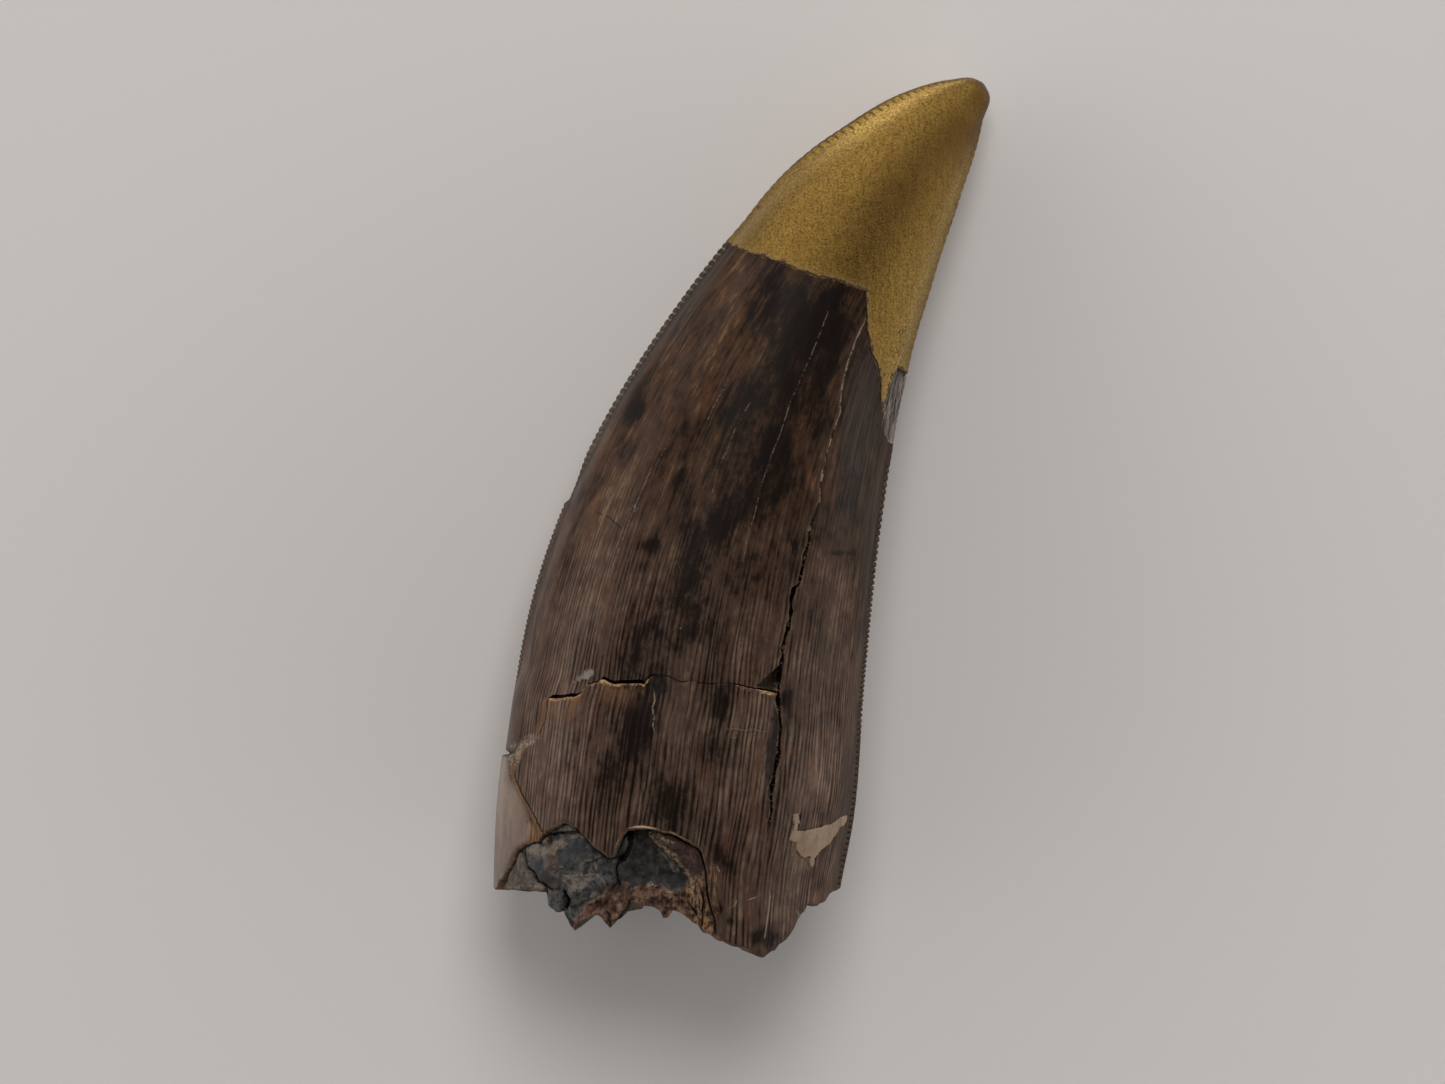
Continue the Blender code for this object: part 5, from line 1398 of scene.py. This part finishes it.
patch_v, patch_theta = np.meshgrid(
    np.linspace(*PATCH_V, PATCH_ROWS), np.linspace(*PATCH_ANGLES, PATCH_COLUMNS), indexing="ij"
)
patch_base = tooth(patch_v, patch_theta)
deep = within(patch_base[..., 0], patch_base[..., 1], PATCH)
deep += 0.12 * rough(patch_base, 0.6, 81) + 0.05 * rough(patch_base, 0.25, 83)
patch_slow = slow_relief(patch_base)
patch_out = patch_slow + PATCH_STANDS_OUT - PATCH_DIVES * ease(-deep, -0.03, 0.10)
patch_out += 0.012 * rough(patch_base, 0.4, 82)
patch_top = tooth(patch_v, patch_theta, proud=patch_out)
patch_bottom = tooth(patch_v, patch_theta, proud=patch_slow - PATCH_THICKNESS)[:, ::-24]
patch_places = np.concatenate([patch_top, patch_bottom], axis=1)


def putty_finish():
    """Matt tan putty with small pits and faint lengthwise scrapes."""
    f = Finish(bpy.data.materials.new("tan_putty"))
    own = f.field("own")
    fine = f.noise(own, 6.0, 3.0, 0.6)
    cloud = f.noise(own, 0.9, 3.0, stretch=(1, 0.5, 1))
    f.colour = f.mix(cloud.rise(0.3, 0.7), (112, 92, 75), (140, 118, 98))
    f.paint(fine.rise(0.62, 0.72) * 0.7, (78, 62, 48))
    f.paint(fine.rise(0.38, 0.28) * 0.4, (176, 160, 138))
    f.surface(fine, 0.05, Roughness=0.80 + fine * 0.1)
    return f.owner


patch = skin("putty_patch", patch_places, {"own": patch_places}, [putty_finish()])
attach(patch, "root")
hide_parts("filler_patch")

# The floor is a plain pale sheet of matt board, a little uneven in tone. It lies level under
# the tooth and reaches past the picture on all sides.

FLOOR_HALF = 0.9

floor_mesh = bpy.data.meshes.new("floor")
corners = [(x * FLOOR_HALF, y * FLOOR_HALF, 0) for x, y in ((-1, -1), (1, -1), (1, 1), (-1, 1))]
floor_mesh.from_pydata(corners, [], [(0, 1, 2, 3)])
floor = bpy.data.objects.new("floor", floor_mesh)
bpy.context.scene.collection.objects.link(floor)
f = Finish(bpy.data.materials.new("pale_floor"))
where = f.node("TexCoord", {}, {}, "Object")
haze = f.noise(where, 3.0, 2.0)
f.colour = f.mix(haze, (228, 223, 220), (233, 229, 227))
f.surface(haze, 0.0, Roughness=0.7)
floor_mesh.materials.append(f.owner)

# Soft light as in a light tent: a bright ring of wall low down, brighter on the left than on the
# right, under a dim roof. One panel overhead, towards the tip, gives the relief its shade.

ROOF = 0.06
WALL = 2.9
LEFT_WALL = 1.6
RIGHT_WALL = 1.2
WARM_WHITE = (1.0, 0.985, 0.965)
PANEL_PLACE = np.array([0.05, 0.75, 0.95])
PANEL_SIZE = 0.70
PANEL_POWER = 6.3


def room_light():
    """The room's light by direction: a roof, and a wall that is dim near and brighter at the sides."""
    f = Finish(bpy.data.worlds.new("room"))
    direction = f.node("TexCoord", {}, {}, "Generated")
    upwards = direction.parts()[2]

    def towards(x, y, z, low, high):
        turned = {0: direction, 1: (x, y, z)}
        return f.node("VectorMath", {"operation": "DOT_PRODUCT"}, turned, "Value").rise(low, high)

    left = towards(-0.84, 0.50, 0.20, 0.1, 0.95)
    right = towards(0.97, -0.10, 0.20, 0.2, 0.95)
    near = towards(0.0, -1.0, 0.1, 0.1, 0.9)
    wall = upwards.rise(0.52, 0.12) * (WALL * (1 - near * 0.9) + left * LEFT_WALL + right * RIGHT_WALL)
    strength = wall * upwards.rise(-0.1, 0.1) + ROOF
    f.fill(f.nodes["Background"], {"Color": (*WARM_WHITE, 1.0), "Strength": strength})
    return f.owner


bpy.context.scene.world = room_light()
panel = bpy.data.lights.new("panel", "AREA")
panel.shape = "SQUARE"
panel.size = PANEL_SIZE
panel.energy = PANEL_POWER
panel.color = WARM_WHITE
lamp = bpy.data.objects.new("panel", panel)
lamp.location = PANEL_PLACE
lamp.rotation_euler = (
    math.acos(PANEL_PLACE[2] / np.linalg.norm(PANEL_PLACE)), 0.0,
    math.atan2(-PANEL_PLACE[1], -PANEL_PLACE[0]) - math.pi / 2,
)
bpy.context.scene.collection.objects.link(lamp)
bpy.context.scene.view_settings.view_transform = "Standard"

# The camera looks straight down the tooth's own Z on its middle plane, from far away through
# a long lens, so that both edges show nearly as they were drawn.

LENS = 300.0
SENSOR = 36.0
FRAME_WIDTH = 114.7
AIM = (-1.63, -2.14)

distance = FRAME_WIDTH * LENS / SENSOR
target = np.array([[*AIM, 0.0], [*AIM, distance], [AIM[0], AIM[1] + 1.0, 0.0]])
middle, eye, above = laid_down(target)
back = (eye - middle) / np.linalg.norm(eye - middle)
up = (above - middle) / np.linalg.norm(above - middle)
right = np.cross(up, back)
view = bpy.data.cameras.new("camera")
view.lens = LENS
view.sensor_width = SENSOR
view.clip_start = 0.01
camera = bpy.data.objects.new("camera", view)
matrix = np.eye(4)
matrix[:3, :3] = np.stack([right, up, back], axis=1)
matrix[:3, 3] = eye
camera.matrix_world = matrix.T.tolist()
bpy.context.scene.collection.objects.link(camera)
bpy.context.scene.camera = camera
